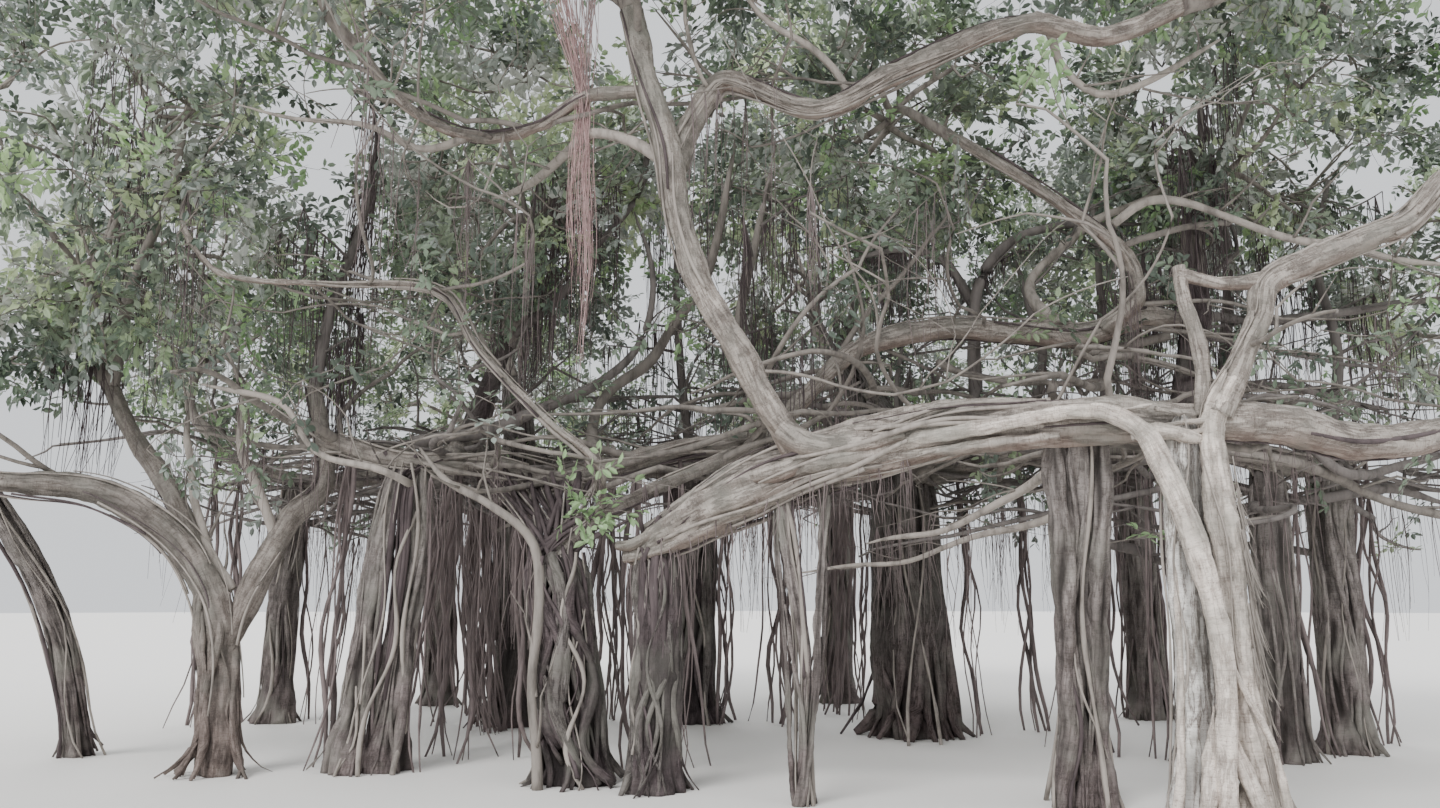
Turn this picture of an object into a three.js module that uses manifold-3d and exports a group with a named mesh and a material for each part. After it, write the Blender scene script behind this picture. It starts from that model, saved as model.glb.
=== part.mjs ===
// A banyan: one wide tree that stands on its trunk and on pillars, the roots that its boughs let down to the ground.
// Millimetres, +Z up. The origin is the middle of the trunk's flat foot, +X runs along the tree's open front
// and +Y runs back under the crown. Routes and places below are written in metres and scaled by METRE.
import * as THREE from "three";
import { mergeVertices } from "three/addons/utils/BufferGeometryUtils.js";
import Module from "manifold-3d";

const wasm = await Module();
wasm.setup();

const METRE = 1000;
const GAP = 0.4; // clear space left between two solids that meet
const CELL_MARGIN = 6; // how far a mass of foliage keeps from its neighbour's space
const LIMB_CLEARANCE = 60; // how far twigs and leaves keep from a limb's bark

const LEAF_LENGTH = 1700; // each leaf stands for a spray of real ones
const LEAF_WIDTH = 980;
const LEAF_THICKNESS = 46;
const TWIG_ROOT = 42; // radius where a twig leaves the wood it grows from
const TWIG_NECK = 26; // radius where its end leaf begins
const TWIGS_PER_MASS = 6;
const SIDE_LEAVES = [0.36, 0.5, 0.63]; // where a twig's other leaves stand, as shares of its length

const BARK = { color: 0x9a8c7c, roughness: 0.9, metalness: 0 };
const DARK_BARK = { color: 0x6a5a54, roughness: 0.95, metalness: 0 };
const RED_ROOT = { color: 0xa8736c, roughness: 0.9, metalness: 0 };
const LEAF = { color: 0x5d7a45, roughness: 0.6, metalness: 0 };

const tree = new THREE.Group();
const limbs = []; // every finished limb: its solid grown by GAP, and samples of its line for the clearance test
const metres = ([x, y, z]) => new THREE.Vector3(x, y, z).multiplyScalar(METRE);

// Numbers

// A seeded stream of numbers between 0 and 1, the same on every run.
function seeded(seed) {
  let state = seed >>> 0;
  return () => {
    state = (state + 0x6d2b79f5) >>> 0;
    let mixed = Math.imul(state ^ (state >>> 15), state | 1);
    mixed ^= mixed + Math.imul(mixed ^ (mixed >>> 7), mixed | 61);
    return ((mixed ^ (mixed >>> 14)) >>> 0) / 4294967296;
  };
}

// Reads a short list of values as a smooth profile from 0 to 1.
function along(values, t) {
  const place = Math.min(t, 0.999999) * (values.length - 1);
  const i = Math.floor(place);
  const k = place - i;
  const eased = k * k * (3 - 2 * k);
  return values[i] + (values[Math.min(i + 1, values.length - 1)] - values[i]) * eased;
}

// Solids

function solidOf(geometry) {
  geometry.deleteAttribute("normal");
  geometry.deleteAttribute("uv");
  const merged = mergeVertices(geometry, 1e-3);
  return new wasm.Manifold(
    new wasm.Mesh({
      numProp: 3,
      vertProperties: merged.attributes.position.array,
      triVerts: new Uint32Array(merged.index.array),
    }),
  );
}

function meshOf(name, solid, look) {
  const { vertProperties, triVerts, numProp, numVert } = solid.getMesh();
  const place = new Float32Array(numVert * 3);
  for (let i = 0; i < numVert; i++) place.set(vertProperties.subarray(i * numProp, i * numProp + 3), i * 3);
  const geometry = new THREE.BufferGeometry();
  geometry.setAttribute("position", new THREE.BufferAttribute(place, 3));
  geometry.setIndex(new THREE.BufferAttribute(new Uint32Array(triVerts), 1));
  geometry.computeVertexNormals();
  const mesh = new THREE.Mesh(geometry, new THREE.MeshStandardMaterial({ ...look, flatShading: true }));
  mesh.name = name;
  tree.add(mesh);
  return mesh;
}

// A rod that follows a smooth curve through the points, as rings of corners at the given stops between 0 and 1.
// section(t, angle) gives a corner's two offsets from the line. grow makes the rod larger all over, for cutting
// a clear space round it.
function rod(points, section, sides, stops, grow = 0) {
  const curve = new THREE.CatmullRomCurve3(points, false, "centripetal");
  const fine = 120;
  const frames = curve.computeFrenetFrames(fine, false);
  const rings = stops.length - 1;
  const geometry = new THREE.CylinderGeometry(1, 1, 1, sides, rings);
  const position = geometry.attributes.position;
  const growth = grow / Math.cos(Math.PI / sides);
  for (let i = 0; i < position.count; i++) {
    const ring = Math.round((position.getY(i) + 0.5) * rings);
    const t = stops[ring];
    const frame = Math.round(t * fine);
    const normal = frames.normals[frame];
    const tangent = frames.tangents[frame];
    const side = new THREE.Vector3().crossVectors(normal, tangent);
    const onRim = Math.hypot(position.getX(i), position.getZ(i)) > 0.5;
    const angle = Math.atan2(position.getZ(i), position.getX(i));
    const [u, v] = onRim ? section(t, angle) : [0, 0];
    const past = ring === 0 ? -grow : ring === rings ? grow : 0;
    const point = curve.getPointAt(t);
    point.addScaledVector(normal, u + (onRim ? growth * Math.cos(angle) : 0));
    point.addScaledVector(side, v + (onRim ? growth * Math.sin(angle) : 0));
    point.addScaledVector(tangent, past);
    position.setXYZ(i, point.x, point.y, point.z);
  }
  return solidOf(geometry);
}

const evenStops = (steps) => Array.from({ length: steps + 1 }, (_, i) => i / steps);

// A round limb's section, from its radius along its length.
const round = (radius) => (t, angle) => [radius(t) * Math.cos(angle), radius(t) * Math.sin(angle)];

const union = (solids) => solids.reduce((whole, solid) => whole.add(solid));

const ground = solidOf(new THREE.BoxGeometry(60 * METRE, 60 * METRE, 4 * METRE).translate(0, 0, -2 * METRE));

const largest = (solid) => solid.decompose().reduce((a, b) => (a.volume() > b.volume() ? a : b));

const boxesMeet = (a, b) => [0, 1, 2].every((k) => a.min[k] <= b.max[k] && a.max[k] >= b.min[k]);

// Cuts a new limb clear of those that stand already and at the ground, then keeps it as a node.
function addLimb(name, shape, lines, look = BARK) {
  let solid = shape(0).subtract(ground);
  for (const limb of limbs) {
    if (boxesMeet(limb.box, solid.boundingBox())) solid = solid.subtract(limb.grown);
  }
  const kept = largest(solid);
  const grown = shape(GAP);
  const samples = [];
  for (const { points, radius } of lines) {
    const curve = new THREE.CatmullRomCurve3(points, false, "centripetal");
    for (let i = 0; i <= 30; i++) samples.push({ at: curve.getPointAt(i / 30), radius: radius(i / 30) });
  }
  limbs.push({ name, grown, box: grown.boundingBox(), samples });
  meshOf(name, kept, look);
}

// Boughs

// One tapering limb. route is a few points in metres, thick its radii in metres from root to tip.
// It returns its tip, where a mass of foliage can take over.
function bough(name, route, thick, { sides = 6, steps = 7, look = BARK, spurs = [] } = {}) {
  const points = route.map(metres);
  const radius = (t) => METRE * along(thick, t);
  const spurLines = spurs.map((spur) => ({
    points: spur.route.map(metres),
    radius: (t) => METRE * along(spur.thick, t),
  }));
  const shape = (grow) => {
    const parts = [rod(points, round(radius), sides, evenStops(steps), grow)];
    for (const line of spurLines) parts.push(rod(line.points, round(line.radius), 5, evenStops(line.points.length), grow));
    return union(parts);
  };
  addLimb(name, shape, [{ points, radius }, ...spurLines], look);
  const curve = new THREE.CatmullRomCurve3(points, false, "centripetal");
  return { at: curve.getPointAt(1), direction: curve.getTangentAt(1), radius: radius(1) };
}

// Pillars

const FOOT_STOPS = [0, 0.07, 0.18, 0.55, 1]; // the rings of a pillar, closer together in its flared foot

// A pillar of roots grown together, from the ground up to the bough that let it down. Its lobes are the single
// roots, and they wind round it. foot and head are in metres, width is its thickness half way up.
function pillar(name, foot, head, width, options = {}) {
  const { lobes = 5, twist = 0.9, flare = 1.5, lean = [0, 0], look = BARK } = options;
  const low = metres([foot[0], foot[1], -0.12]);
  const high = metres(head);
  const middle = low.clone().lerp(high, 0.5).add(metres([lean[0], lean[1], 0]));
  const points = [low, middle, high];
  const atFoot = (t) => Math.max(0, 1 - t / FOOT_STOPS[2]) ** 2;
  const radius = (t) => 0.5 * width * METRE * (1 + (flare - 1) * atFoot(t)) * (1 - 0.12 * t);
  const section = (t, angle) => {
    const r = radius(t) * (1 + (0.12 + 0.1 * atFoot(t)) * Math.cos(lobes * angle));
    return [r * Math.cos(angle + twist * t), r * Math.sin(angle + twist * t)];
  };
  addLimb(name, (grow) => rod(points, section, 2 * lobes, FOOT_STOPS, grow), [{ points, radius }], look);
}

// The trunk

// Three stems grown together under one knotted head, with root toes round the foot.
function trunk() {
  const stems = [
    // a broad slab on the left, a smooth stem that comes down from the left bough, and one that splays out at its foot
    { route: [[-0.2, 0.12, -0.12], [-0.19, 0.1, 1.3], [-0.2, 0.1, 2.4], [-0.13, 0.06, 3.0]], thick: [0.24, 0.2, 0.22, 0.2] },
    { route: [[-0.06, -0.1, -0.12], [-0.1, -0.12, 1.3], [-0.26, -0.07, 2.3], [-0.48, 0.04, 2.8]], thick: [0.15, 0.11, 0.1, 0.11] },
    { route: [[0.3, -0.02, -0.12], [0.17, -0.03, 0.8], [0.06, -0.03, 1.9], [0.05, -0.03, 3.12]], thick: [0.2, 0.13, 0.11, 0.13] },
  ];
  const toeAngles = [0.1, 1.5, 2.8, 4.0, 5.2];
  const toes = toeAngles.map((angle, i) => {
    const reach = 0.62 + 0.08 * Math.sin(3 * i);
    const at = (r, z) => [Math.cos(angle) * r, Math.sin(angle) * r * 0.8, z];
    return { route: [at(0.16, 0.55), at(0.36, 0.16), at(reach, -0.06)], thick: [0.1, 0.09, 0.05] };
  });
  const lines = [...stems, ...toes].map(({ route, thick }) => ({
    points: route.map(metres),
    radius: (t) => METRE * along(thick, t),
  }));
  const shape = (grow) =>
    union(lines.map((line, i) => rod(line.points, round(line.radius), i < stems.length ? 7 : 4, evenStops(i < stems.length ? 6 : 2), grow)));
  addLimb("trunk", shape, lines);
}

trunk();

// The open front: the limbs that show best
bough("bough_left",
  [[0.0, 0.08, 2.96], [-0.5, 0.2, 2.98], [-1.1, 0.4, 3.0], [-1.7, 0.6, 3.0], [-2.3, 0.9, 2.87], [-2.95, 1.2, 2.73], [-3.6, 1.5, 2.46], [-4.42, 1.9, 2.02]],
  [0.17, 0.19, 0.2, 0.23, 0.25, 0.27, 0.22, 0.12], { sides: 8, steps: 12 });
const rightTip = bough("bough_right",
  [[0.1, 0.02, 2.98], [0.75, 0.1, 2.95], [1.25, 0.2, 2.85], [2.05, 0.4, 2.92], [3.3, 1.2, 3.3], [4.3, 2.6, 3.8], [5.1, 4.1, 4.2]],
  [0.16, 0.15, 0.13, 0.13, 0.12, 0.1, 0.09], { sides: 7, steps: 8 });
const risingTip = bough("rising_limb",
  [[-2.8, 1.15, 2.75], [-3.18, 1.0, 3.22], [-3.47, 0.9, 3.76], [-3.77, 0.9, 4.28], [-3.94, 0.9, 4.86], [-4.05, 0.95, 5.51], [-4.22, 1.0, 6.1], [-4.4, 1.1, 6.9]],
  [0.15, 0.13, 0.12, 0.12, 0.125, 0.12, 0.11, 0.1], { sides: 7, steps: 8 });
const crossRightTip = bough("cross_bough_right",
  [[-4.0, 1.0, 5.4], [-3.82, 1.15, 5.9], [-3.58, 1.2, 6.27], [-2.73, 1.0, 5.91], [-2.02, 0.9, 6.22], [-0.9, 0.8, 6.62], [-0.23, 0.8, 6.5], [0.5, 0.8, 6.8]],
  [0.12, 0.11, 0.09, 0.1, 0.1, 0.1, 0.095, 0.09], { steps: 11 });
const crossLeftTip = bough("cross_bough_left",
  [[-4.16, 1.05, 6.12], [-4.83, 1.25, 6.14], [-5.26, 1.4, 5.94], [-5.85, 1.6, 5.9], [-6.5, 1.5, 6.15], [-6.9, 1.3, 6.6]],
  [0.09, 0.085, 0.08, 0.075, 0.07, 0.07], { steps: 8 });
const forkTip = bough("forked_limb",
  [[0.12, -0.08, 3.0], [0.3, -0.1, 3.41], [0.48, -0.1, 3.75], [0.53, -0.1, 4.0], [0.84, -0.05, 4.17], [1.23, 0.0, 4.34], [1.74, 0.1, 4.54], [2.3, 0.3, 5.0], [3.2, 0.8, 5.5]],
  [0.12, 0.1, 0.11, 0.12, 0.11, 0.1, 0.1, 0.08, 0.07],
  {
    sides: 7,
    steps: 10,
    spurs: [
      { route: [[0.04, -0.04, 3.0], [0.03, -0.05, 3.5], [-0.06, -0.05, 3.9], [-0.08, -0.03, 4.16]], thick: [0.08, 0.07, 0.06, 0.055] },
      { route: [[0.5, -0.09, 4.03], [0.2, -0.07, 4.02], [-0.1, -0.04, 4.1]], thick: [0.07, 0.055, 0.055] },
    ],
  });

// The left: a stem that forks in three close to the ground
bough("stem_left",
  [[-8.42, 2.8, -0.12], [-8.4, 2.8, 0.5], [-8.47, 2.8, 1.2], [-8.62, 2.8, 1.75], [-8.95, 2.75, 2.25], [-9.6, 2.55, 2.66], [-10.6, 2.2, 2.8], [-11.2, 2.3, 3.3]],
  [0.42, 0.21, 0.19, 0.2, 0.17, 0.15, 0.12, 0.09], { sides: 8, steps: 12 });
bough("stem_left_arm",
  [[-8.4, 2.8, 1.1], [-8.24, 2.84, 1.6], [-7.93, 3.0, 2.43], [-7.7, 3.2, 2.78], [-7.78, 3.36, 3.3], [-7.95, 3.5, 3.9]],
  [0.16, 0.14, 0.13, 0.12, 0.1, 0.09]);
const stemUpTip = bough("stem_left_riser",
  [[-8.72, 2.88, 1.95], [-9.2, 3.1, 2.74], [-9.7, 3.2, 3.35], [-10.0, 3.2, 3.9]],
  [0.13, 0.12, 0.1, 0.09]);

// The middle distance
bough("bough_centre",
  [[-0.12, 0.12, 2.86], [-0.3, 1.4, 3.1], [-0.7, 3.3, 3.35], [-1.1, 5.2, 3.35], [-1.2, 6.0, 3.2]],
  [0.16, 0.15, 0.16, 0.18, 0.2]);
const centreTip = bough("trunk_middle",
  [[-1.2, 6.0, -0.12], [-1.2, 6.0, 0.6], [-1.25, 6.05, 1.8], [-1.3, 6.1, 3.1], [-1.5, 6.8, 4.2], [-1.9, 7.7, 5.1]],
  [0.78, 0.46, 0.38, 0.36, 0.2, 0.14], { sides: 10, steps: 10 });
const midRightTip = bough("bough_right_middle",
  [[-0.95, 5.9, 3.2], [0.3, 4.5, 3.35], [1.5, 3.6, 3.3], [2.4, 3.65, 3.1], [3.3, 4.4, 3.2], [4.6, 5.5, 3.5], [5.5, 6.0, 3.75]],
  [0.17, 0.15, 0.16, 0.15, 0.14, 0.11, 0.09]);
const darkTip = bough("dark_stem",
  [[1.5, 3.62, 3.3], [1.5, 3.6, 4.0], [1.6, 3.65, 4.7], [1.65, 3.7, 5.2]],
  [0.26, 0.2, 0.17, 0.13], { look: DARK_BARK });
bough("bough_over_middle",
  [[1.52, 3.6, 4.62], [0.9, 3.3, 4.6], [0.3, 3.3, 4.42], [-0.45, 3.35, 4.46], [-1.3, 3.4, 4.5], [-2.1, 3.4, 4.3], [-2.7, 3.3, 3.75], [-3.12, 3.14, 3.26]],
  [0.12, 0.13, 0.14, 0.13, 0.12, 0.11, 0.1, 0.1], { steps: 8 });
const curveTip = bough("curved_limb",
  [[0.45, 3.2, 4.46], [0.72, 2.95, 4.7], [0.66, 2.9, 5.1], [0.0, 2.75, 5.6], [-0.8, 2.7, 6.15], [-1.2, 2.9, 6.5]],
  [0.09, 0.08, 0.075, 0.07, 0.065, 0.06]);
bough("wave_bough",
  [[-3.15, 3.1, 3.25], [-4.0, 3.2, 3.17], [-4.86, 3.3, 2.95], [-5.4, 3.35, 2.86], [-5.95, 3.35, 3.0], [-6.9, 3.2, 3.05], [-7.75, 3.3, 3.3]],
  [0.12, 0.12, 0.12, 0.13, 0.13, 0.13, 0.11]);
bough("sling_bough",
  [[-5.22, 2.25, 1.9], [-4.9, 2.3, 2.3], [-4.2, 2.45, 2.7], [-3.6, 2.75, 3.0], [-3.2, 3.12, 3.22]],
  [0.12, 0.085, 0.07, 0.07, 0.07]);
const thinTip = bough("thin_limb_left",
  [[-4.75, 2.33, 2.4], [-4.72, 2.0, 2.85], [-5.2, 1.9, 3.28], [-5.84, 1.85, 3.94], [-6.2, 1.85, 4.48], [-7.28, 1.85, 4.56], [-8.32, 1.85, 4.68], [-8.68, 1.85, 5.1]],
  [0.06, 0.055, 0.055, 0.05, 0.05, 0.045, 0.045, 0.04], { sides: 5, steps: 11 });

// The back, out of sight from the front
const backLeftTip = bough("trunk_back_left",
  [[-6.3, 7.2, -0.12], [-6.3, 7.2, 0.6], [-6.35, 7.2, 2.0], [-6.4, 7.3, 3.3], [-6.5, 7.6, 4.3], [-6.7, 8.0, 4.9]],
  [0.6, 0.34, 0.28, 0.27, 0.17, 0.12], { sides: 8, steps: 8 });
bough("bough_back",
  [[-1.35, 6.3, 3.35], [-2.6, 7.0, 3.55], [-4.0, 7.5, 3.5], [-5.3, 7.5, 3.5], [-6.35, 7.35, 3.45]],
  [0.2, 0.17, 0.17, 0.16, 0.17]);
bough("bough_left_middle",
  [[-6.4, 7.2, 3.3], [-6.7, 5.8, 3.45], [-6.6, 4.6, 3.4], [-6.4, 3.35, 3.1]],
  [0.16, 0.14, 0.13, 0.12]);
const upperLeftTip = bough("riser_left_middle",
  [[-6.62, 4.9, 3.4], [-6.4, 4.8, 4.0], [-6.1, 4.7, 4.7]],
  [0.14, 0.12, 0.1], { look: DARK_BARK });
const farLeftTip = bough("bough_far_left",
  [[-6.4, 7.3, 3.35], [-8.0, 7.6, 3.4], [-9.6, 7.5, 3.3], [-10.6, 7.5, 3.7], [-10.9, 7.6, 4.0]],
  [0.18, 0.15, 0.13, 0.11, 0.09]);
const backLeftCornerTip = bough("bough_back_left_corner",
  [[-6.45, 7.4, 3.6], [-7.4, 9.0, 3.7], [-8.2, 10.2, 3.6], [-8.6, 10.9, 3.85]],
  [0.16, 0.13, 0.12, 0.09]);
const backTip = bough("bough_back_middle",
  [[-1.3, 6.35, 3.5], [-1.7, 8.4, 3.75], [-1.6, 10.4, 3.6], [-1.5, 11.4, 3.9]],
  [0.17, 0.15, 0.13, 0.09]);
const backRightTip = bough("bough_back_right",
  [[-1.15, 6.1, 3.55], [0.8, 6.9, 3.65], [2.4, 7.9, 3.55], [2.9, 8.3, 4.1], [2.8, 8.5, 4.8]],
  [0.19, 0.16, 0.15, 0.13, 0.1]);

// Pillars, front to back
bough("pillar_inner",
  [[-0.68, 1.2, -0.12], [-0.66, 1.12, 0.5], [-0.7, 0.85, 1.7], [-0.78, 0.42, 2.95]],
  [0.26, 0.16, 0.14, 0.15],
  { steps: 6, spurs: [
    { route: [[-0.86, 1.08, -0.12], [-0.78, 0.98, 0.9], [-0.88, 0.62, 2.1], [-0.96, 0.42, 2.9]], thick: [0.13, 0.11, 0.1, 0.1] },
    { route: [[-0.5, 1.02, -0.12], [-0.55, 1.0, 0.9], [-0.6, 0.6, 2.0], [-0.62, 0.36, 2.9]], thick: [0.12, 0.1, 0.09, 0.09] },
  ] });
bough("pillar_forked",
  [[-2.92, 1.2, -0.12], [-2.93, 1.18, 0.8], [-2.97, 1.16, 1.7], [-3.08, 1.2, 2.6]],
  [0.09, 0.055, 0.06, 0.07],
  { sides: 5, steps: 4, spurs: [
    { route: [[-2.93, 1.14, -0.12], [-2.9, 1.12, 0.7], [-2.75, 1.12, 1.8], [-2.66, 1.12, 2.6]], thick: [0.06, 0.05, 0.045, 0.045] },
  ] });
pillar("pillar_root_bundle", [-4.16, 1.85], [-4.16, 1.78, 2.1], 0.44, { lobes: 5, twist: 0.3, flare: 1.25, look: DARK_BARK });
pillar("pillar_wide", [-4.9, 2.3], [-5.15, 2.25, 2.05], 0.62, { lobes: 6, twist: 0.5, flare: 1.3, look: DARK_BARK });
pillar("pillar_split", [-7.0, 3.02], [-6.8, 3.2, 3.0], 0.52, { lobes: 5, twist: 0.5, flare: 1.35 });
pillar("pillar_leaning", [-10.45, 4.2], [-11.12, 2.4, 3.3], 0.34, { lobes: 4, twist: 0.6, flare: 1.6, lean: [0.25, 0.2] });
pillar("pillar_right_a", [2.27, 3.7], [2.25, 3.66, 3.12], 0.42, { lobes: 4, twist: 0.6 });
pillar("pillar_right_b", [3.25, 4.4], [3.3, 4.4, 3.2], 0.46, { lobes: 5, twist: -0.8 });
pillar("pillar_right_c", [4.6, 3.1], [4.55, 3.05, 3.95], 0.36, { lobes: 4, twist: 0.7 });
pillar("pillar_dark_stem", [1.42, 3.75], [1.45, 3.62, 3.3], 0.5, { lobes: 5, twist: 0.7, look: DARK_BARK });
pillar("pillar_middle_back", [-4.0, 7.5], [-4.0, 7.5, 3.5], 0.62, { lobes: 5, twist: 0.6, look: DARK_BARK });
pillar("pillar_far_left", [-9.7, 7.5], [-9.6, 7.5, 3.3], 0.42, { lobes: 4, twist: 1.2, flare: 1.6 });
pillar("pillar_back_left", [-8.1, 10.15], [-8.15, 10.15, 3.6], 0.46, { lobes: 4, twist: 0.8 });
pillar("pillar_back_middle", [-1.7, 10.5], [-1.6, 10.35, 3.62], 0.5, { lobes: 5, twist: 0.6 });
pillar("pillar_back_right", [2.45, 8.0], [2.35, 7.88, 3.55], 0.5, { lobes: 5, twist: 0.7 });

// A tassel of young red roots that hangs from the left cross bough and has not reached the ground.
const TASSEL = { x: -4.84, y: 1.25, top: 6.14, bottom: 3.5, width: 0.17, strands: 4 };
const tasselLines = Array.from({ length: TASSEL.strands }, (_, i) => {
  const angle = (2 * Math.PI * i) / TASSEL.strands;
  const at = (out, z) => [TASSEL.x + Math.cos(angle) * out, TASSEL.y + Math.sin(angle) * out, z];
  const low = TASSEL.bottom + 0.3 * i;
  const half = 0.5 * (TASSEL.top + low);
  return {
    points: [at(0.02, TASSEL.top), at(0.5 * TASSEL.width, half), at(0.12 * TASSEL.width, low)].map(metres),
    radius: (t) => METRE * (0.05 - 0.034 * t),
  };
});
const tassel = (grow) => union(tasselLines.map(({ points, radius }) => rod(points, round(radius), 4, evenStops(3), grow)));
addLimb("hanging_root_tassel", tassel, tasselLines, RED_ROOT);

// Foliage

// Each mass has the centre and the half sizes of its space in metres, and the bough tip that it grows from.
const masses = [
  { name: "foliage_front_left", centre: [-7.5, 0.8, 8.0], half: [2.3, 2.3, 1.5], from: crossLeftTip },
  { name: "foliage_front_middle", centre: [-3.2, 0.6, 8.35], half: [2.3, 2.4, 1.4], from: risingTip },
  { name: "foliage_front_right", centre: [1.3, 0.9, 8.1], half: [2.4, 2.4, 1.45], from: crossRightTip },
  { name: "foliage_left", centre: [-10.2, 3.0, 5.9], half: [2.6, 2.5, 2.4], from: stemUpTip },
  { name: "foliage_left_middle", centre: [-6.0, 4.7, 6.9], half: [2.2, 2.2, 2.3], from: upperLeftTip },
  { name: "foliage_middle", centre: [-1.8, 4.8, 7.4], half: [2.3, 2.3, 2.1], from: curveTip },
  { name: "foliage_right_middle", centre: [2.6, 4.4, 7.2], half: [2.3, 2.3, 2.2], from: darkTip },
  { name: "foliage_right", centre: [5.3, 1.3, 6.2], half: [2.1, 2.5, 2.1], from: forkTip },
  { name: "foliage_far_left", centre: [-11.2, 7.7, 5.9], half: [2.4, 2.5, 2.2], from: farLeftTip },
  { name: "foliage_back_left", centre: [-6.9, 8.6, 7.1], half: [2.3, 2.2, 2.3], from: backLeftTip },
  { name: "foliage_back_middle", centre: [-2.3, 8.9, 7.3], half: [2.4, 2.2, 2.3], from: centreTip },
  { name: "foliage_back_right", centre: [2.5, 8.7, 6.9], half: [2.4, 2.3, 2.3], from: backRightTip },
  { name: "foliage_far_right", centre: [6.2, 5.6, 5.6], half: [2.0, 2.4, 2.1], from: rightTip },
  { name: "foliage_rear_left", centre: [-7.6, 12.0, 5.5], half: [3.1, 2.2, 2.2], from: backLeftCornerTip },
  { name: "foliage_rear_right", centre: [-1.2, 12.4, 5.6], half: [3.1, 2.2, 2.2], from: backTip },
];

for (const mass of masses) {
  mass.middle = metres(mass.centre);
  mass.weight = (METRE * Math.cbrt(mass.half[0] * mass.half[1] * mass.half[2])) ** 2;
}

// Whether a point is in a mass's own space: nearer to it than to any other mass, by flat walls half way between them.
function inOwnSpace(mass, point) {
  return masses.every((other) => {
    if (other === mass) return true;
    const apart = other.middle.distanceTo(mass.middle);
    const share = 0.5 + (mass.weight - other.weight) / (2 * apart * apart);
    const wall = mass.middle.clone().lerp(other.middle, share);
    const outward = other.middle.clone().sub(mass.middle).divideScalar(apart);
    return wall.sub(point).dot(outward) > CELL_MARGIN;
  });
}

// How far out of its mass's middle a point lies: 1 is the edge of its space.
function reachOf(mass, point) {
  const d = point.clone().sub(mass.middle).divideScalar(METRE);
  return Math.hypot(d.x / mass.half[0], d.y / mass.half[1], d.z / mass.half[2]);
}

// Whether a straight piece keeps clear of every limb but for its own bough's tip.
function clearOfLimbs(from, to, halfWidth, mass) {
  for (const { box, samples } of limbs) {
    const margin = halfWidth + LIMB_CLEARANCE;
    const piece = { min: [], max: [] };
    ["x", "y", "z"].forEach((axis, k) => {
      piece.min[k] = Math.min(from[axis], to[axis]) - margin;
      piece.max[k] = Math.max(from[axis], to[axis]) + margin;
    });
    if (!boxesMeet(box, piece)) continue;
    const line = new THREE.Line3(from, to);
    for (const { at, radius } of samples) {
      if (at.distanceTo(mass.from.at) < 2 * mass.from.radius) continue;
      if (line.closestPointToPoint(at, true, new THREE.Vector3()).distanceTo(at) < radius + margin) return false;
    }
  }
  return true;
}

// The aims of a mass: points spread evenly over the edge of its space, where its twigs end.
function aimsOf(mass, random) {
  const golden = Math.PI * (3 - Math.sqrt(5));
  const start = 2 * Math.PI * random();
  return Array.from({ length: TWIGS_PER_MASS }, (_, i) => {
    const up = 1 - (2 * (i + 0.3 + 0.4 * random())) / TWIGS_PER_MASS;
    const flat = Math.sqrt(1 - up * up);
    const angle = golden * i + start;
    const offset = [flat * Math.cos(angle), flat * Math.sin(angle), up].map((v, k) => 0.97 * v * mass.half[k]);
    return metres(offset).add(mass.middle);
  });
}

// A flat leaf of eight faces on its own line, broadest a little past the middle.
function leaf(foot, tip, roll) {
  const length = foot.distanceTo(tip);
  const size = length / LEAF_LENGTH;
  const geometry = new THREE.OctahedronGeometry(1, 0);
  geometry.scale(length / 2, (size * LEAF_WIDTH) / 2, (size * LEAF_THICKNESS) / 2);
  const direction = tip.clone().sub(foot).normalize();
  const turned = new THREE.Quaternion().setFromUnitVectors(new THREE.Vector3(1, 0, 0), direction);
  turned.multiply(new THREE.Quaternion().setFromAxisAngle(new THREE.Vector3(1, 0, 0), roll));
  geometry.applyQuaternion(turned);
  const middle = foot.clone().lerp(tip, 0.5);
  geometry.translate(middle.x, middle.y, middle.z);
  return geometry;
}

// The longest a leaf can be from its foot and still lie in its mass's space, clear of every limb. 0 where none fits.
function roomFor(mass, foot, direction) {
  const flat = new THREE.Vector3(-direction.y, direction.x, 0).normalize();
  const tall = new THREE.Vector3().crossVectors(direction, flat);
  for (let length = LEAF_LENGTH; length > 0.45 * LEAF_LENGTH; length -= 50) {
    const half = (0.5 * LEAF_WIDTH * length) / LEAF_LENGTH;
    const tip = foot.clone().addScaledVector(direction, length);
    const belly = foot.clone().addScaledVector(direction, 0.5 * length);
    const corners = [flat, tall].flatMap((axis) => [half, -half].map((out) => belly.clone().addScaledVector(axis, out)));
    const inside = reachOf(mass, tip) <= 1 && [tip, ...corners].every((corner) => inOwnSpace(mass, corner));
    if (inside && clearOfLimbs(foot, tip, half, mass)) return length;
  }
  return 0;
}

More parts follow.
